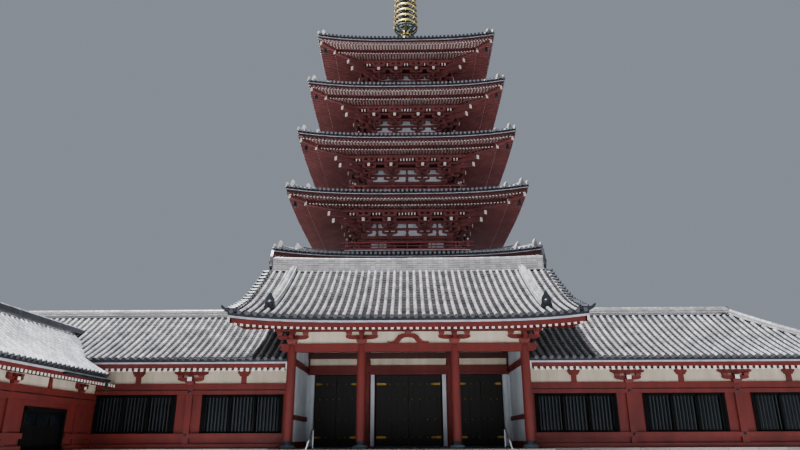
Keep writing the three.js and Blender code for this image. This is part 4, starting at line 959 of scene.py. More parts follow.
def gateEaves():
    run, verge, depth, edge, ridge = gate["run"], gate["verge"], gate["depth"], gate["eave"], gate["ridge"]
    front = Faces()

    def under(d):
        return edge - 0.34 + (run - 0.15 - d) / 2.2 * 0.42

    def lower(d):
        return edge - 0.16 + (5.65 - d) / 1.05 * 0.2

    gateBand(front, verge - 0.06, run - 0.26, run - 0.1, edge - 0.26, edge - 0.05, "red")
    # a darker strip behind the fascia and a beam at the knee: painted shade
    gateBand(front, verge - 0.1, run - 0.24, run - 0.12, edge - 0.1, edge - 0.05, "paintedShadeRed")
    gateBand(front, verge - 0.1, 5.5, 5.66, lower(5.6) + 0.13, under(5.6) + 0.12, "paintedShadeRed")
    places = spaced(verge - 0.12, gate["rafterPitch"])
    flying = [[onGate(x, d, under(d) + 0.07) for d in (run - 0.15, 5.2)] for x in places]
    base = [[onGate(x, d, lower(d) + 0.075) for d in (5.65, depth - 0.1)] for x in places]
    tips = [onGate(x, run - 0.138, under(run - 0.15) + 0.07) for x in places]
    front.bars(flying, 0.12, 0.14, "red")
    front.bars(base, 0.12, 0.15, "red")
    front.blocks(tips, 0.13, 0.03, 0.15, "white")
    # boards over the rafters, and boarding with common rafters over the porch, up to the ridge; the porch
    # boarding and its rafters are in the darker red of painted shade
    inside = [(0.0, ridge - 0.62), (depth - 0.1, gate["purlin"] + 0.36)]
    for rows, paint in (([(d, under(d) + 0.12) for d in (5.2, run - 0.12)], "cream"),
                        ([(d, lower(d) + 0.13) for d in (depth - 0.1, 5.66)], "cream"), (inside, "paintedShadeRed")):
        front.loft([[onGate(x, d, z) for x in along(0.1 - verge, verge - 0.1, 16)] for d, z in rows], paint,
                   loop=False)
    commons = [[onGate(x, d, z - 0.07) for d, z in inside[::-1]]
               for x in spaced(verge - 0.12, gate["rafterPitch"] * 2)]
    front.bars(commons, 0.12, 0.14, "paintedShadeRed")
    # barge boards at the gables, with a pale strip under the tiles
    places = along(0.0, run - 0.1, 8)
    for side in (-1, 1):
        x0, x1 = sorted((side * (verge - 0.06), side * (verge - 0.17)))
        front.loft([[onGate(x, d, gateTop(d) - z) for x, z in ((x0, 0.62), (x1, 0.62), (x1, 0.2), (x0, 0.2))]
                    for d in places], "red")
        front.loft([[onGate(side * (verge - 0.05), d, gateTop(d) - z) for z in (0.24, 0.3)[::side]]
                    for d in places], "cream", loop=False)
    whole = bothSlopes(front)
    # hanging board under each gable peak
    pendant = [(-0.34, 0.0), (-0.42, -0.35), (-0.2, -0.55), (0, -0.85), (0.2, -0.55), (0.42, -0.35),
               (0.34, 0.0)]
    for side in (-1, 1):
        x0, x1 = sorted((side * (verge - 0.06), side * (verge - 0.12)))
        whole.prism([(gate["ridgeY"] + a, ridge - 0.5 + b) for a, b in pendant], x0, x1, "red", axis="X")
    assemble("gate_eaves_timber", whole)


def gateBracket(faces, x, y):
    # bearing block, arm with rolled ends, three blocks, and a short beam end that faces out
    z = gate["tieTop"]
    bearingBlock(faces, x, y, z, 0.5, 0.22, "red")
    faces.prism(armOutline(x - 0.78, x + 0.78, z + 0.2, 0.2), y - 0.1, y + 0.1, "red")
    for shift in (-0.62, 0, 0.62):
        bearingBlock(faces, x + shift, y, z + 0.4, 0.28, 0.2, "red")
    faces.prism(armOutline(y - 0.62, y + 0.3, z + 0.2, 0.2), x - 0.09, x + 0.09, "red", axis="X")


def roundColumn(faces, x, y, z0, z1, radius, sides):
    profile = [(radius, z0), (radius, z1 - 0.5), (radius * 0.96, z1 - 0.15), (radius * 0.88, z1)]
    faces.lathe(profile, (x, y, 0), "red", sides)


def gateFrontTimber():
    part, y, floor, purlin = Faces(), gateFront, gate["floor"], gate["purlin"]
    tieBottom, tieTop = gate["tieBottom"], gate["tieTop"]
    footing = [(0.36, 0.001), (0.37, 0.03), (0.34, 0.11), (0.29, 0.16), (0.22, 0.17)]
    for x in gate["columns"]:
        part.lathe(footing, (x, y, floor), "footing", 28)
        roundColumn(part, x, y, floor + 0.15, tieBottom + 0.3, gate["columnRadius"], 28)
        part.lathe([(0.222, 0.17), (0.222, 0.3), (0.214, 0.32)], (x, y, floor), "bell", 28)
        gateBracket(part, x, y)
    # the thin strip under the purlin is in the darker red: painted shade
    for half, out, back, z0, z1, paint in (
            (5.55, 0.14, 0.14, tieBottom, tieTop, "red"), (5.6, 0.05, 0.06, tieTop, purlin + 0.02, "plaster"),
            (6.5, 0.13, 0.13, purlin, purlin + 0.24, "red"),
            (6.4, 0.09, 0.09, purlin - 0.04, purlin, "paintedShadeRed")):
        part.box(-half, half, y - out, y + back, z0, z1, paint)
    # noses of the tie beam, white ends of the purlin, and the frog-leg strut in the middle bay
    nose = [(5.5, tieBottom), (6.0, tieBottom), (6.2, tieBottom + 0.12), (6.12, tieBottom + 0.2),
            (6.24, tieTop), (5.5, tieTop)]
    leg = [(1.0, 0.0), (0.98, 0.08), (0.84, 0.05), (0.68, 0.1), (0.56, 0.24), (0.48, 0.36), (0.3, 0.44),
           (0.0, 0.46), (0.0, 0.27), (0.2, 0.25), (0.32, 0.17), (0.42, 0.03), (0.5, -0.02)]
    for side in (-1, 1):
        part.prism([(side * a, b) for a, b in nose], y - 0.12, y + 0.12, "red")
        part.box(side * 6.5, side * 6.52, y - 0.135, y + 0.135, purlin - 0.005, purlin + 0.245, "white")
        part.prism([(side * a, tieTop + 0.02 + b) for a, b in leg], y - 0.12, y - 0.03, "red")
    bearingBlock(part, 0, y, tieTop + 0.44, 0.34, 0.17, "red")
    assemble("gate_front_timber", part, replaces=["gate_front_frame"])


def gateDoorWall():
    # trims on the door wall: pale posts beside the openings, beams, plaster strips and a threshold; the upper
    # beam and the blocks and arms on the wall are in the darker red of painted shade
    part, y, floor, head = Faces(), gate["ridgeY"], gate["floor"], gate["doorHead"]
    strips = [(-5.38, 5.38, head + 0.14, head + 0.5, 0.12, "red"),
              (-5.38, 5.38, head + 0.5, 5.69, 0.01, "plaster"),
              (-5.45, 5.45, 5.69, 6.0, 0.12, "paintedShadeRed"), (-5.45, 5.45, 6.0, 6.46, 0.01, "plaster")]
    for a, b in ((-5.12, -2.72), (-1.81, 1.81), (2.72, 5.12)):
        strips += [(a - 0.23, a - 0.03, floor + 0.05, head, 0.1, "jamb"),
                   (b + 0.03, b + 0.23, floor + 0.05, head, 0.1, "jamb"),
                   (a - 0.3, b + 0.3, head, head + 0.14, 0.16, "red"),
                   (a - 0.26, b + 0.26, floor + 0.002, floor + 0.028, 0.2, "footing")]
    for x0, x1, z0, z1, thick, paint in strips:
        part.box(x0, x1, y - 0.13 - thick, y - 0.1, z0, z1, paint)
    for x in (-5.38, -2.24, 2.24, 5.38):
        bearingBlock(part, x, y - 0.16, 6.0, 0.42, 0.2, "paintedShadeRed")
        arm = armOutline(max(x - 0.7, -5.45), min(x + 0.7, 5.45), 6.18, 0.17)
        part.prism(arm, y - 0.24, y - 0.12, "paintedShadeRed")
    for x in (-2.24, 2.24):
        roundColumn(part, x, y, floor + 0.02, 5.72, 0.235, 24)
    assemble("gate_door_surrounds", part)


def gatePorchWalls():
    # red rails and posts framing the plaster of the side walls, inside and outside
    part, floor = Faces(), gate["floor"]
    y0, y1 = gateFront + 0.37, gate["ridgeY"] + gate["depth"] - 0.01
    rails = [(y0, y1, floor + 0.01, floor + 0.3), (y0, y1, floor + 1.3, floor + 1.52), (y0, y1, 4.9, 5.22)]
    posts = [(y - 0.1, y + 0.1, floor + 0.01, 6.45) for y in (gate["ridgeY"] + 0.24, y1 - 0.11)]
    for wall, face in ((-5.6, -1), (-5.6, 1), (5.6, -1), (5.6, 1)):
        for a, b, z0, z1 in rails + posts:
            part.box(wall + face * 0.101, wall + face * 0.16, a, b, z0, z1, "red")
    assemble("gate_side_rails", part)


def doorFittings(leaf, hingeX, meetX):
    # brass strap hinges and rows of domed bosses on one leaf
    part, way, width = Faces(), 1 if meetX > hingeX else -1, abs(meetX - hingeX)
    front, low, reach = gate["ridgeY"] - 0.05, gate["floor"] + 0.03, width * 0.34
    strap = [(0.02, -0.055), (reach - 0.12, -0.055), (reach, 0.0), (reach - 0.12, 0.055), (0.02, 0.055)]
    for z in (low + 0.46, low + 3.21):
        part.prism([(hingeX + way * a, z + b) for a, b in strap], front - 0.012, front + 0.001, "brass")
    across = 4 if width > 1.4 else 3
    spots = []
    for place in [width * (k + 0.75) / (across + 0.2) for k in range(across)]:
        for rise in (0.46, 1.36, 2.41, 3.21):
            if place > reach or 1 < rise < 3:  # the straps keep their own place free
                spots.append((hingeX + way * place, front - 0.002, low + rise))
    part.studs(spots, 0.042, 0.035, "brass")
    assemble(leaf + "_fittings", part, body=leaf + "_leaf")


gateRoofTiles()
gateEaves()
gateFrontTimber()
gateDoorWall()
gatePorchWalls()
for leaf, hingeX, meetX in (("centre_door_left", -1.746, -0.007), ("centre_door_right", 1.746, 0.007),
                            ("left_door_left", -5.056, -3.927), ("left_door_right", -2.784, -3.913),
                            ("right_door_left", 2.784, 3.913), ("right_door_right", 5.056, 3.927)):
    doorFittings(leaf, hingeX, meetX)
print("gate hall made")


# Ranges: tiled roofs round the court, and walls with windows, beams, brackets and struts

ranges = {
    "left": -26.9, "right": 21.6, "front": -21.9, "rear": 21.9, "depth": 3.4, "eave": 5.05, "ridge": 8.3,
    "edge": 4.8, "courtEdge": 3.9, "tilePitch": 0.365, "tileRadius": 0.083, "discRadius": 0.1, "course": 0.28,
    "rafterPitch": 0.287, "sill": 1.8, "head": 3.6, "windowWidth": 3.8, "barPitch": 0.17, "gateEnd": 5.84,
}
rangeDepth = ranges["depth"]


def rangeTop(d):
    return tileLine(abs(d), ranges["edge"], ranges["ridge"], ranges["eave"] + 0.3)


def standing(faces, side, out=0.0):
    # a range is drawn with x to the right as seen from outside and its ridge line on y = 0, then set in place
    place, turn = {"front": ((0, ranges["front"] + rangeDepth, 0), 0.0),
                   "right": ((ranges["right"] - rangeDepth, 0, 0), math.pi / 2),
                   "rear": ((0, ranges["rear"] - rangeDepth, 0), math.pi),
                   "left": ((ranges["left"] + rangeDepth, 0, 0), -math.pi / 2)}[side]
    whole = Faces()
    whole.merge(faces, placed(place, turn) @ placed((0, -out, 0)))
    return whole


def span(run, v):
    # both ends of a run, v metres out from the ridge line: 1 is a mitred end and 0 a square one
    u0, u1, m0, m1 = run
    return u0 - m0 * v, u1 + m1 * v


def rangeBand(faces, run, way, v0, v1, z0, z1, paint):
    faces.band((0, 1) if way > 0 else (1, 0), lambda end, v, z: (span(run, way * v)[end], -way * v, z),
               v0, v1, z0, z1, paint)


def rangeRoof(name, side, run, node):
    u0, u1, m0, m1 = run
    part = Faces()
    for way, edge in ((1, ranges["edge"]), (-1, ranges["courtEdge"])):

        def tileEdge(share, rise):
            v = edge * (1 - share)
            row = [(u, -way * v, rangeTop(v) - 0.15 + rise) for u in along(*span(run, way * v), 12)]
            return row[::way]

        part.panTiles(round(edge * 1.12 / ranges["course"]), ranges["course"], 0.035, tileEdge)
        rows = []
        low, high = span(run, edge if way > 0 else 0.0)
        for u in multiples(low + 0.12, high - 0.12, ranges["tilePitch"]):
            # a row runs from the eave up to the ridge or to the mitre
            start, stop = edge + 0.02, 0.2
            if way > 0:
                stop = max(stop, max(u0 - u if m0 else 0, u - u1 if m1 else 0) + 0.05)
            else:
                start = min(start, max(0.0, min(u - u0 if m0 else 99, u1 - u if m1 else 99)) - 0.05)
            if start - stop >= 0.2:
                rows.append([(u, -way * v, rangeTop(min(v, edge)) - 0.1) for v in along(start, stop, 6)])
        part.tileRows(rows, ranges["tileRadius"], ranges["discRadius"], 0.06)
        eave = rangeTop(edge) - 0.3
        rangeBand(part, run, way, edge - 0.25, edge - 0.03, eave + 0.04, eave + 0.185, "panEdge")
        rangeBand(part, run, way, edge - 0.3, edge - 0.05, eave - 0.035, eave + 0.045, "flashing")
    ridgeStack(part, [(u, 0, ranges["ridge"] - 0.06) for u in along(u0, u1, 4)], 0.44, 0.26, 0.1, 4)
    for sign, mitred, u in ((-1, m0, u0), (1, m1, u1)):
        if mitred and side in ("front", "rear"):
            # hip and valley cover of each corner, made once, by the front and rear roofs
            hip = [(u + sign * v, -v, rangeTop(v) - 0.08) for v in along(ranges["edge"] - 0.1, 0.1, 8)]
            ridgeStack(part, hip, 0.36, 0.2, 0.11, 3)
            part.merge(ogreTile(0.34), placed(hip[0], sign * math.pi / 4))
            valley = [(u - sign * v, v, rangeTop(v) - 0.15) for v in (0.2, 1.2, 2.2, 3.2, 3.85)]
            part.bars([valley], 0.3, 0.05, "bell")
    assemble(name, standing(part, side), replaces=[node])


def rangeEaves(name, side, run):
    # fascia, rafters with white ends and boards, on the outer side and the court side
    u0, u1, m0, m1 = run
    part = Faces()
    for way, edge, wall in ((1, ranges["edge"], rangeDepth), (-1, ranges["courtEdge"], rangeDepth - 0.3)):
        eave, tip = rangeTop(edge) - 0.3, edge - 0.15

        def under(v):
            return eave - 0.38 + (tip - v) * 0.24

        rangeBand(part, run, way, edge - 0.24, edge - 0.1, eave - 0.24, eave - 0.035, "red")
        a, b = span(run, way * tip)
        rafters = []
        for u in [(a + b) / 2 + x for x in spaced((b - a - 0.1) / 2, ranges["rafterPitch"])]:
            over = max(u0 - u if m0 else -99, u - u1 if m1 else -99)
            stop = max(wall - 0.05, over) if way > 0 else wall - 0.05
            if tip - stop >= 0.1:
                rafters.append([(u, -way * v, under(v) + 0.07) for v in (tip, stop)])
        part.bars(rafters, 0.12, 0.13, "red")
        part.blocks([(x, y - way * 0.012, z) for (x, y, z), _ in rafters], 0.14, 0.03, 0.17, "white")
        rows = [[(u, -way * v, under(v) + 0.125) for u in span(run, way * v)]
                for v in (wall - 0.1, edge - 0.12)]
        part.loft([row[::way] for row in rows], "cream", loop=False)
        if way > 0:
            for u, mitred, step in ((u0, m0, 0.11), (u1, m1, -0.11)):
                if not mitred:
                    part.box(u, u + step, 0.02 - edge, 0.16 - edge, eave - 0.3, eave + 0.04, "white")
    assemble(name, standing(part, side))


def rangeBracket(faces, u):
    # boat-shaped bearing arm on a block, with a white beam end in its middle
    z = 4.12
    bearingBlock(faces, u, -0.06, z, 0.42, 0.17, "red")
    faces.prism(armOutline(u - 0.64, u + 0.64, z + 0.15, 0.18), -0.17, 0.02, "red")
    for shift in (-0.52, 0, 0.52):
        bearingBlock(faces, u + shift, -0.08, z + 0.33, 0.26, 0.15, "red")
    faces.box(u - 0.105, u + 0.105, -0.3, 0.0, z + 0.17, z + 0.36, "red")
    faces.box(u - 0.11, u + 0.11, -0.315, -0.3, z + 0.165, z + 0.365, "white")
    faces.prism(armOutline(u - 0.84, u + 0.84, z + 0.46, 0.18), -0.14, 0.02, "red")


def rangeWindow(faces, u):
    # dark frame with two mullions, an outer trim, the pane and a row of bars before it
    half, sill, head = ranges["windowWidth"] / 2, ranges["sill"], ranges["head"]
    a, b, third = u - half, u + half, half / 3
    for x0, x1, z0, z1, out, back in (
            (a, b, sill, sill + 0.09, 0.03, 0.14), (a, b, head - 0.1, head, 0.03, 0.14),
            (a, a + 0.09, sill, head, 0.03, 0.14), (b - 0.09, b, sill, head, 0.03, 0.14),
            (u - third - 0.045, u - third + 0.045, sill, head, 0.03, 0.14),
            (u + third - 0.045, u + third + 0.045, sill, head, 0.03, 0.14),
            (a - 0.12, b + 0.12, head, head + 0.06, 0.09, 0.02),
            (a - 0.12, a, sill, head, 0.06, 0.02), (b, b + 0.12, sill, head, 0.06, 0.02)):
        faces.box(x0, x1, -out, back, z0, z1, "frame")
    faces.box(a, b, 0.2, 0.23, sill + 0.05, head - 0.05, "pane")
    count = int(2 * half / ranges["barPitch"])
    bars = [(a + 2 * half * (n + 0.5) / count, 0.06, (sill + head) / 2) for n in range(count)]
    faces.blocks(bars, 0.04, 0.06, head - sill - 0.1, "bars")


def rangeWall(name, side, u0, u1, bays, windows):
    # everything that stands proud of the outer wall face, for one run of wall; y is 0 on the face
    wall, posts = Faces(), along(u0, u1, bays)
    # the thin strip between the two upper beams is in the darker red: painted shade
    for z0, z1, out, paint in (
            (4.12, 4.88, 0.015, "plaster"), (3.88, 4.17, 0.1, "red"), (3.64, 3.83, 0.13, "red"),
            (3.83, 3.88, 0.06, "paintedShadeRed"), (1.58, 1.8, 0.13, "red"), (1.101, 1.3, 0.16, "red")):
        wall.box(u0, u1, -out, 0.02, z0, z1, paint)
    for k, u in enumerate(posts):
        wall.box(max(u0, u - 0.16), min(u1, u + 0.16), -0.11, 0.02, 1.101, 4.14, "red")
        if 0 < k < bays or side != "front":
            rangeBracket(wall, u)
    wall.studs([(u, -0.13, z) for u in posts for z in (3.735, 1.69)], 0.075, 0.045, "bell")
    for k in range(bays):
        u = (posts[k] + posts[k + 1]) / 2
        wall.box(u - 0.13, u + 0.13, -0.08, 0.02, 4.16, 4.56, "red")
        wall.prism(armOutline(u - 0.24, u + 0.24, 4.5, 0.14), -0.1, 0.02, "red")
        wall.box(u - 0.3, u + 0.3, -0.12, 0.02, 4.63, 4.8, "red")
        if k in windows:
            rangeWindow(wall, u)
    assemble(name, standing(wall, side, rangeDepth))


def courtTrims(runs):
    # posts and rails on the wall that faces the court
    part = Faces()
    for side, a, b in runs:
        wall = Faces()
        wall.box(a, b, -0.02, 0.06, 5.3, 5.46, "red")
        wall.box(a, b, -0.02, 0.05, 5.02, 5.14, "granite")
        for u in along(a, b, round((b - a) / 2.6)):
            wall.box(max(a, u - 0.09), min(b, u + 0.09), -0.02, 0.07, 5.0, 5.46, "red")
        part.merge(standing(wall, side, -rangeDepth))
    assemble("court_wall_trims", part)


left, right, front, rear, gateEnd = (ranges[key] for key in ("left", "right", "front", "rear", "gateEnd"))
leftRun, rightRun = (left + rangeDepth, -gateEnd, 1, 0), (gateEnd, right - rangeDepth, 0, 1)
rangeRoof("front_left_tiles", "front", leftRun, "front_left_roof")
rangeRoof("front_right_tiles", "front", rightRun, "front_right_roof")
rangeEaves("front_left_eaves", "front", leftRun)
rangeEaves("front_right_eaves", "front", rightRun)
for side, u0, u1, node in (
        ("left", -rear, -front, "left_side_roof"), ("right", front, rear, "right_side_roof"),
        ("rear", -right, -left, "rear_roof")):
    run = (u0 + rangeDepth, u1 - rangeDepth, 1, 1)
    rangeRoof(side + "_tiles", side, run, node)
    rangeEaves(side + "_eaves", side, run)
rangeWall("front_left_wall_timber", "front", left, -5.6, 4, {0, 2, 3})
rangeWall("front_right_wall_timber", "front", 5.6, right, 3, {0, 1, 2})
rangeWall("left_wall_timber", "left", -rear, -front, 8, range(8))
rangeWall("right_wall_timber", "right", front, rear, 8, range(8))
rangeWall("rear_wall_timber", "rear", -right, -left, 9, range(9))
inner = 2 * rangeDepth - 0.3
courtTrims((("front", left + inner, -5.72), ("front", 5.72, right - inner),
            ("right", front + inner, rear - inner), ("rear", inner - right, -left - inner),
            ("left", inner - rear, -front - inner)))
print("ranges made")


# Wing: tiled gable roof that runs into the front range, with its eaves and wall timbers

wing = {
    "ridgeX": -17.9, "half": 2.2, "edge": 3.35, "end": -33.6, "verge": -34.5, "ridge": 7.0, "eave": 4.3,
    "posts": (-33.44, -28.85, -23.5), "doorNear": -27.7, "doorFar": -24.4, "doorHead": 2.85,
    "rafterPitch": 0.27, "gutterFrom": -27.2, "eaveBack": -23.32, "wallFoot": 1.101, "friezeFoot": 3.66,
}


def wingTop(d):
    return tileLine(d, wing["edge"], wing["ridge"], wing["eave"] + 0.3)


def meeting(d, rise=0.0):
    # how far back the wing's slope runs, at d from its ridge, before it meets the front range
    level, reach = wingTop(d) + rise, ranges["edge"]
    while reach > 0 and rangeTop(reach) < level:
        reach -= 0.02
    return ranges["front"] + rangeDepth - reach


def paced(first, last, pitch):
    # places from the first at an even pitch, before the last
    return [first + k * pitch for k in range(math.ceil((last - first) / pitch))]


def wingRoof():
    part = Faces()
    edge, verge, centre, eave = wing["edge"], wing["verge"], wing["ridgeX"], wing["eave"]
    for side in (1, -1):

        def tileEdge(share, rise):
            d = edge * (1 - share)
            row = [(centre + side * d, y, wingTop(d) - 0.145 + rise) for y in along(verge, meeting(d), 8)]
            return row[::side]

        part.panTiles(round(edge * 1.2 / ranges["course"]), ranges["course"], 0.03, tileEdge)
        rows = []
        for y in paced(verge + 0.2, meeting(0.3), ranges["tilePitch"]):
            start = edge + 0.02
            while start > 0.3 and y > meeting(min(start, edge)) + 0.1:
                start -= 0.03
            if start > 0.45:
                rows.append([(centre + side * d, y, wingTop(min(d, edge)) - 0.1)
                             for d in along(start, 0.2, 5)])
        part.tileRows(rows, ranges["tileRadius"], ranges["discRadius"], 0.06)
        for back, lip, z0, z1, paint in (
                (0.25, 0.03, 0.045, 0.175, "panEdge"), (0.3, 0.05, -0.035, 0.045, "flashing")):
            part.box(centre + side * (edge - back), centre + side * (edge - lip), verge + 0.05, meeting(edge),
                     eave + z0, eave + z1, paint)
        # low ridge beside the verge
        slope = along(edge - 0.25, 0.25, 5)
        line = [(centre + side * d, verge + 0.42, wingTop(d) - 0.1) for d in slope]
        ridgeStack(part, line, 0.3, 0.2, 0.1, 3)
        part.merge(ogreTile(0.26), placed(raised(line, 0.05)[0], side * math.pi / 2))
    # the main ridge takes the dark end-tile finish: painted shade on its shaded side
    line = [(centre, y, wing["ridge"] - 0.06) for y in along(verge, meeting(0.0, 0.28) + 0.15, 5)]
    ridgeStack(part, line, 0.38, 0.24, 0.1, 4, "tileEnd")
    part.merge(ogreTile(0.36), placed((centre, verge + 0.02, wing["ridge"] + 0.06)))
    assemble("wing_roof_tiles", part, replaces=["wing_roof"])


def wingEaves():
    part = Faces()
    edge, verge, centre, eave = wing["edge"], wing["verge"], wing["ridgeX"], wing["eave"]
    half, back = wing["half"], wing["eaveBack"]

    def under(d):
        return eave - 0.3 + (edge - 0.15 - d) * 0.2

    for side in (1, -1):
        part.box(centre + side * (edge - 0.24), centre + side * (edge - 0.1), verge + 0.06, back, eave - 0.19,
                 eave - 0.035, "red")
        rafters = [[(centre + side * d, y, under(d) + 0.06) for d in (edge - 0.16, half - 0.05)]
                   for y in paced(verge + 0.2, ranges["front"] - 0.2, wing["rafterPitch"])]
        part.bars(rafters, 0.11, 0.12, "red")
        tips = [(x + side * 0.012, y, z) for (x, y, z), _ in rafters]
        part.blocks(tips, 0.12, 0.03, 0.13, "white", side * math.pi / 2)
        rows = [[(centre + side * d, y, under(d) + 0.115) for y in (verge + 0.1, ranges["front"] - 0.05)]
                for d in (half - 0.1, edge - 0.13)]
        part.loft([row[::side] for row in rows], "cream", loop=False)
        # bargeboard under the verge tiles
        places = along(edge - 0.1, 0.0, 6)
        outline = [(centre + side * d, wingTop(d) - 0.5) for d in places]
        outline += [(centre + side * d, wingTop(d) - 0.16) for d in places[::-1]]
        part.prism(outline, verge + 0.02, verge + 0.12, "red")
    # gutter and the short downpipe at its end
    outline = [(centre + edge - 0.02 + 0.09 * math.cos(a), eave - 0.03 + 0.09 * math.sin(a))
               for a in along(math.pi, 2 * math.pi, 6)]
    part.prism(outline, wing["gutterFrom"], back + 0.3, "bell")
    part.lathe([(0.05, 0), (0.05, 0.5)], (centre + edge - 0.04, back + 0.15, eave - 0.6), "bell", 12)
    assemble("wing_eaves", part)


def wingBracket(face, u):
    bearingBlock(face, u, -0.05, 3.66, 0.32, 0.14, "red")
    face.prism(armOutline(u - 0.5, u + 0.5, 3.78, 0.16), -0.15, 0.02, "red")
    for shift in (-0.4, 0, 0.4):
        bearingBlock(face, u + shift, -0.07, 3.94, 0.2, 0.12, "red")
    face.box(u - 0.08, u + 0.08, -0.26, 0.0, 3.8, 3.92, "red")
    face.box(u - 0.085, u + 0.085, -0.275, -0.26, 3.795, 3.925, "white")


def wingDoorway(face):
    # dark frame of the open doorway, and three fixed panes inside it
    a, b, foot, head = wing["doorNear"], wing["doorFar"], wing["wallFoot"], wing["doorHead"]
    for x0, x1, z0, z1 in ((a, a + 0.12, foot, head), (b - 0.12, b, foot, head), (a, b, head - 0.12, head)):
        face.box(x0, x1, -0.04, 0.25, z0, z1, "frame")
    for x in along(a + 0.13, b - 0.13, 3)[:-1]:
        x1 = x + (b - a - 0.26) / 3 - 0.01
        face.box(x, x1, 0.12, 0.16, foot + 0.02, head - 0.13, "frame")
        face.box(x + 0.06, x1 - 0.06, 0.1, 0.12, foot + 1.0, head - 0.25, "pane")


def wingWallTimber():
    part, foot, frieze, front = Faces(), wing["wallFoot"], wing["friezeFoot"], ranges["front"]
    for side in (1, -1):
        # u runs towards the gable end on the left side and away from it on the right
        face = Faces()
        u0, u1 = sorted((side * wing["end"], side * front))
        lines = [side * y for y in wing["posts"]]
        # the thin strip between the two beams under the frieze is in the darker red: painted shade
        for out, z0, z1, paint in ((0.015, frieze, 4.115, "plaster"), (0.105, 3.4, frieze, "red"),
                                   (0.06, 3.34, 3.4, "paintedShadeRed"), (0.12, 3.1, 3.34, "red")):
            face.box(u0, u1, -out, 0.02, z0, z1, paint)
        for a, b in ((u0, wing["doorNear"]), (wing["doorFar"], u1)) if side > 0 else ((u0, u1),):
            face.box(a, b, -0.14, 0.02, foot, 1.3, "red")
            face.box(a, b, -0.12, 0.02, 1.58, 1.8, "red")
        for u in lines + [side * (front - 0.13)]:
            face.box(u - 0.15, u + 0.15, -0.09, 0.02, foot, frieze, "red")
        for middle in ((lines[0] + lines[1]) / 2, (lines[1] + lines[2]) / 2):
            strut = [(middle - 0.13, 3.66), (middle + 0.13, 3.66), (middle + 0.09, 4.1), (middle - 0.09, 4.1)]
            face.prism(strut, -0.09, 0.02, "red")
        for u in lines[1:]:
            wingBracket(face, u)
        if side > 0:
            wingDoorway(face)
        part.merge(face, placed((wing["ridgeX"] + side * wing["half"], 0, 0), side * math.pi / 2))
    # gable end: beams, plaster, posts and a king post
    centre, half, y = wing["ridgeX"], wing["half"], wing["end"]
    wide = half + 0.02
    for middle, reach, out, z0, z1, paint in (
            (0, wide, 0.14, foot, 1.3, "red"), (0, wide, 0.12, 1.58, 1.8, "red"),
            (0, wide, 0.12, 3.1, 3.34, "red"), (0, wide, 0.1, 3.4, 3.66, "red"),
            (0, wide, 0.12, 4.0, 4.2, "red"), (0, half, 0.015, 3.66, 4.0, "plaster"),
            (0.13 - half, 0.15, 0.09, foot, 4.1, "red"),
            (0, 0.15, 0.09, foot, 4.1, "red"), (half - 0.13, 0.15, 0.09, foot, 4.1, "red"),
            (0, 0.12, 0.1, 4.2, 6.1, "red"), (0, half - 0.9, 0.1, 5.0, 5.2, "red")):
        part.box(centre + middle - reach, centre + middle + reach, y - out, y + 0.02, z0, z1, paint)
    gable = [(centre + 0.5 - half, 4.2), (centre + half - 0.5, 4.2), (centre, 6.0)]
    part.prism(gable, y - 0.02, y + 0.02, "plaster")
    assemble("wing_wall_timber", part)


wingRoof()
wingEaves()
wingWallTimber()
print("wing made")


# Spire: box basin, bowl and open petals, nine wheels on the mast, water flame, wheel and jewel

spire = {
    "base": 34.452, "foot": 3.81, "basinHalf": 0.82, "rimHalf": 0.95, "mast": 0.13,
    "wheels": 9, "first": 7.05, "pitch": 0.678, "radius": 1.2, "taper": 0.0215, "spokes": 8, "flame": 13.024,
}


def petal(faces, angle, points, width, paint, thick=0.03):
    # a leaf that follows a line of (out, up) points, widest at its middle and pointed at the tip
    rings = []
    for k, (out, up) in enumerate(points):
        share = k / (len(points) - 1)
        swell = 0.45 + 1.1 * math.sin(math.pi * min(0.999, share * 0.8 + 0.12))
        half = max(width / 2 * swell * (1 - share ** 4), 0.012)
        rings.append([(out, -half, up), (out + thick, 0, up - thick), (out, half, up),
                      (out - thick * 0.4, 0, up + thick)])
    leaf = Faces()
    leaf.loft(rings, paint)
    faces.merge(leaf, placed((0, 0, spire["base"]), angle))


def fins(faces, outlines, thick, z, turns, paint):
    fin = Faces()
    for outline in outlines:
        fin.prism(outline, -thick, thick, paint)
    for turn in turns:
        faces.merge(fin, placed((0, 0, z), turn))


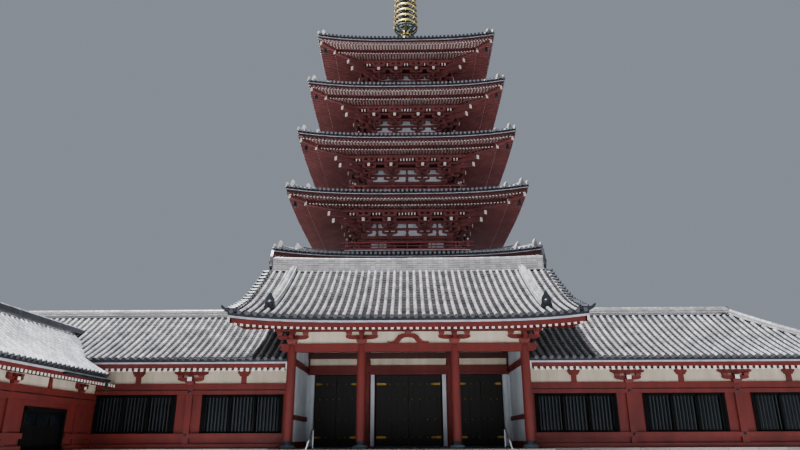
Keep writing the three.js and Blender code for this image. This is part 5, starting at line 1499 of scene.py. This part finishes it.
def spireBasin():
    part, panel = Faces(), Faces()
    base, half, rim = spire["base"], spire["basinHalf"], spire["rimHalf"]
    foot, top = base + spire["foot"], base + 4.78
    for h, z0, z1 in (
            (half + 0.06, foot, foot + 0.16), (half, foot + 0.16, top), (rim - 0.06, top - 0.06, top + 0.02),
            (rim, top + 0.02, top + 0.16), (rim - 0.05, top + 0.16, top + 0.22)):
        part.box(-h, h, -h, h, z0, z1, "hub")
    for x in (-0.41, 0.41):
        panel.box(x - 0.33, x + 0.33, -half - 0.02, -half, foot + 0.24, top - 0.14, "gilt")
        panel.box(x - 0.27, x + 0.27, -half - 0.032, -half - 0.018, foot + 0.3, top - 0.2, "hub")
    part.merge(fourSides(panel))
    bowl = [(0.8, 4.99), (0.79, 5.12), (0.76, 5.25), (0.69, 5.42), (0.58, 5.58), (0.44, 5.7), (0.3, 5.78),
            (0.3, 5.95)]
    part.lathe(bowl, (0, 0, base), "hub", 32)
    for radius, thickness, z, paint in ((0.8, 0.025, 5.06, "gilt"), (0.795, 0.025, 5.14, "gilt"),
                                        (1.12, 0.06, 6.66, "hub")):
        part.hoop(radius, thickness, base + z, paint)
    inner = [(0.28, 5.84), (0.4, 5.86), (0.5, 5.95), (0.54, 6.08), (0.5, 6.22)]
    outer = [(0.24, 6.1), (0.5, 6.08), (0.78, 6.16), (0.98, 6.36), (1.08, 6.62), (1.12, 6.86)]
    for k in range(8):
        petal(part, math.pi * (k + 0.5) / 4, inner, 0.17, "gilt")
        petal(part, math.pi * k / 4, outer, 0.2, "hub")
    part.lathe([(0.26, 5.9), (0.32, 6.0), (0.28, 6.2), (0.25, 6.5), (0.29, 6.72), (0.22, 6.86)], (0, 0, base),
               "brass")
    assemble("spire_base_castings", part, replaces=["spire_base"])


def spireWheels():
    part, base, spokes = Faces(), spire["base"], []
    part.lathe([(spire["mast"], 6.36), (spire["mast"], spire["flame"] - 0.01)], (0, 0, base), "hub")
    for k in range(spire["wheels"]):
        z, radius = base + spire["first"] + k * spire["pitch"], spire["radius"] * (1 - spire["taper"] * k)
        # a tall gilt hoop with a dark one just inside it, which reaches a little lower
        part.hoop(radius - 0.05, 0.06, z, "gilt", 1.5)
        part.hoop(radius - 0.1, 0.06, z - 0.03, "bell", 1.5)
        part.lathe([(0.2, -0.22), (0.36, -0.13), (0.3, 0), (0.27, 0.13), (0.2, 0.2)], (0, 0, z), "hub")
        for angle in along(0.0, 2 * math.pi, spire["spokes"])[:-1]:
            c, s = math.cos(angle), math.sin(angle)
            spokes.append([(c * reach, s * reach, z) for reach in (0.2, radius - 0.1)])
            part.lathe([(0.05, -0.24), (0.04, -0.14), (0.03, -0.04)], (c * radius, s * radius, z), "brass", 8)
    part.bars(spokes, 0.06, 0.09, "hub")
    assemble("spire_wheels", part, replaces=["spire_rings"])


def spireTip():
    part, flame = Faces(), spire["base"] + spire["flame"]
    part.lathe([(spire["mast"], 0), (spire["mast"] * 0.8, 3.3)], (0, 0, flame), "gilt")
    # four fins of three tongues each, with the gaps between the tongues cut through
    tongues = ([(0.1, 0.12), (0.45, 0.1), (0.76, 0.42), (0.74, 0.8), (0.62, 1.05), (0.6, 0.72), (0.42, 0.5),
                (0.1, 0.42)],
               [(0.1, 0.62), (0.36, 0.74), (0.52, 1.05), (0.7, 1.3), (0.64, 1.75), (0.5, 1.95), (0.5, 1.55),
                (0.3, 1.2), (0.1, 1.1)],
               [(0.1, 1.35), (0.26, 1.5), (0.36, 1.85), (0.42, 2.2), (0.3, 2.55), (0.1, 2.78)])
    quarters = along(0.0, 1.5 * math.pi, 3)
    fins(part, tongues, 0.03, flame, quarters, "gilt")
    wheel = [(0.12, 3.06), (0.28, 3.14), (0.38, 3.28), (0.41, 3.42), (0.38, 3.56), (0.28, 3.68), (0.12, 3.78),
             (0.07, 4.0), (0.07, 4.42), (0.16, 4.48), (0.28, 4.6), (0.38, 4.78), (0.41, 4.95), (0.38, 5.1),
             (0.28, 5.3), (0.14, 5.52), (0.05, 5.7), (0.004, 5.8)]
    part.lathe(wheel, (0, 0, flame), "gilt", 32)
    flicker = [(0.4, 4.7), (0.5, 4.95), (0.42, 5.3), (0.2, 5.6), (0.34, 5.2), (0.38, 4.95)]
    fins(part, [flicker], 0.02, flame, [turn + math.pi / 4 for turn in quarters], "hub")
    assemble("spire_flame_and_jewels", part, replaces=["spire_tip"])


spireBasin()
spireWheels()
spireTip()
print("spire made")


# Finishes of the parts that are shown as they are

shown = {
    "granite": ["plinth", "tower_base"],
    "paving": ["terrace_deck", "front_steps"],
    "steel": ["left_handrail", "right_handrail"],
    "red": ["front_left_wall", "front_right_wall", "left_side_wall", "right_side_wall", "rear_wall",
            "wing_walls", "door_frame"],
    "skyShadeRed": [f"storey_{k}_wall" for k in range(1, 6)],
    "plaster": ["court_wall", "gate_rear_wall", "gate_gables"],
    "panel": ["gate_left_wall", "gate_right_wall"],
    "blackDoor": [f"{bay}_door_{leaf}" for bay in ("centre", "left", "right") for leaf in ("left", "right")],
}
for paint, nodes in shown.items():
    for node in nodes:
        for slot in bpy.data.objects[node].material_slots:
            slot.link = "OBJECT"
            slot.material = finish[paint]
print("finishes set")


# Stage: pale floor, soft studio light, and the camera at the photograph's viewpoint

stage = {
    "eye": (0.0, -54.0, 1.6), "pitch": 18.8, "yaw": 0.7, "roll": -0.2, "lens": 28.04,
    "keyFrom": (-40.0, -40.0, 138.0), "keySize": 6.0, "keyPower": 215000.0,
    "fillFrom": (-60.0, -80.0, 26.0), "fillSize": 50.0, "fillPower": 300.0,
    "sky": "#d9e2f2", "skyStrength": 0.36, "floor": "#cacbd2", "floorHalf": 400.0, "aim": (0.0, -6.0, 12.0),
}


def makeFloor():
    mesh, half = bpy.data.meshes.new("floor"), stage["floorHalf"]
    corners = [(-half, -half, 0), (half, -half, 0), (half, half, 0), (-half, half, 0)]
    mesh.from_pydata(corners, [], [(0, 1, 2, 3)])
    paint = bpy.data.materials.new("paleStudioFloor")
    paint.use_nodes = True
    surface = paint.node_tree.nodes["Principled BSDF"]
    surface.inputs["Base Color"].default_value = linear(stage["floor"])
    surface.inputs["Roughness"].default_value = 0.9
    mesh.materials.append(paint)
    floor = bpy.data.objects.new("floor", mesh)
    bpy.context.collection.objects.link(floor)


def addLight(name):
    lamp = bpy.data.lights.new(name, "AREA")
    lamp.shape, lamp.size, lamp.energy = "DISK", stage[name + "Size"] * modelScale, stage[name + "Power"]
    holder = bpy.data.objects.new(name, lamp)
    holder.location = Vector(stage[name + "From"]) * modelScale
    aim = Vector(stage["aim"]) * modelScale - holder.location
    holder.rotation_euler = aim.to_track_quat("-Z", "Y").to_euler()
    bpy.context.collection.objects.link(holder)


makeFloor()
addLight("key")
addLight("fill")
world = bpy.data.worlds.new("studioSky")
world.use_nodes = True
background = world.node_tree.nodes["Background"]
background.inputs["Color"].default_value = linear(stage["sky"])
background.inputs["Strength"].default_value = stage["skyStrength"]
bpy.context.scene.world = world

lens = bpy.data.cameras.new("camera")
lens.lens, lens.sensor_width, lens.clip_end = stage["lens"], 36.0, 500.0
eye = bpy.data.objects.new("camera", lens)
eye.matrix_world = (placed(Vector(stage["eye"]) * modelScale, math.radians(stage["yaw"]))
                    @ Matrix.Rotation(math.radians(90 + stage["pitch"]), 4, "X")
                    @ Matrix.Rotation(math.radians(stage["roll"]), 4, "Z"))
bpy.context.collection.objects.link(eye)
bpy.context.scene.camera = eye
bpy.context.view_layer.update()

print("stage set")
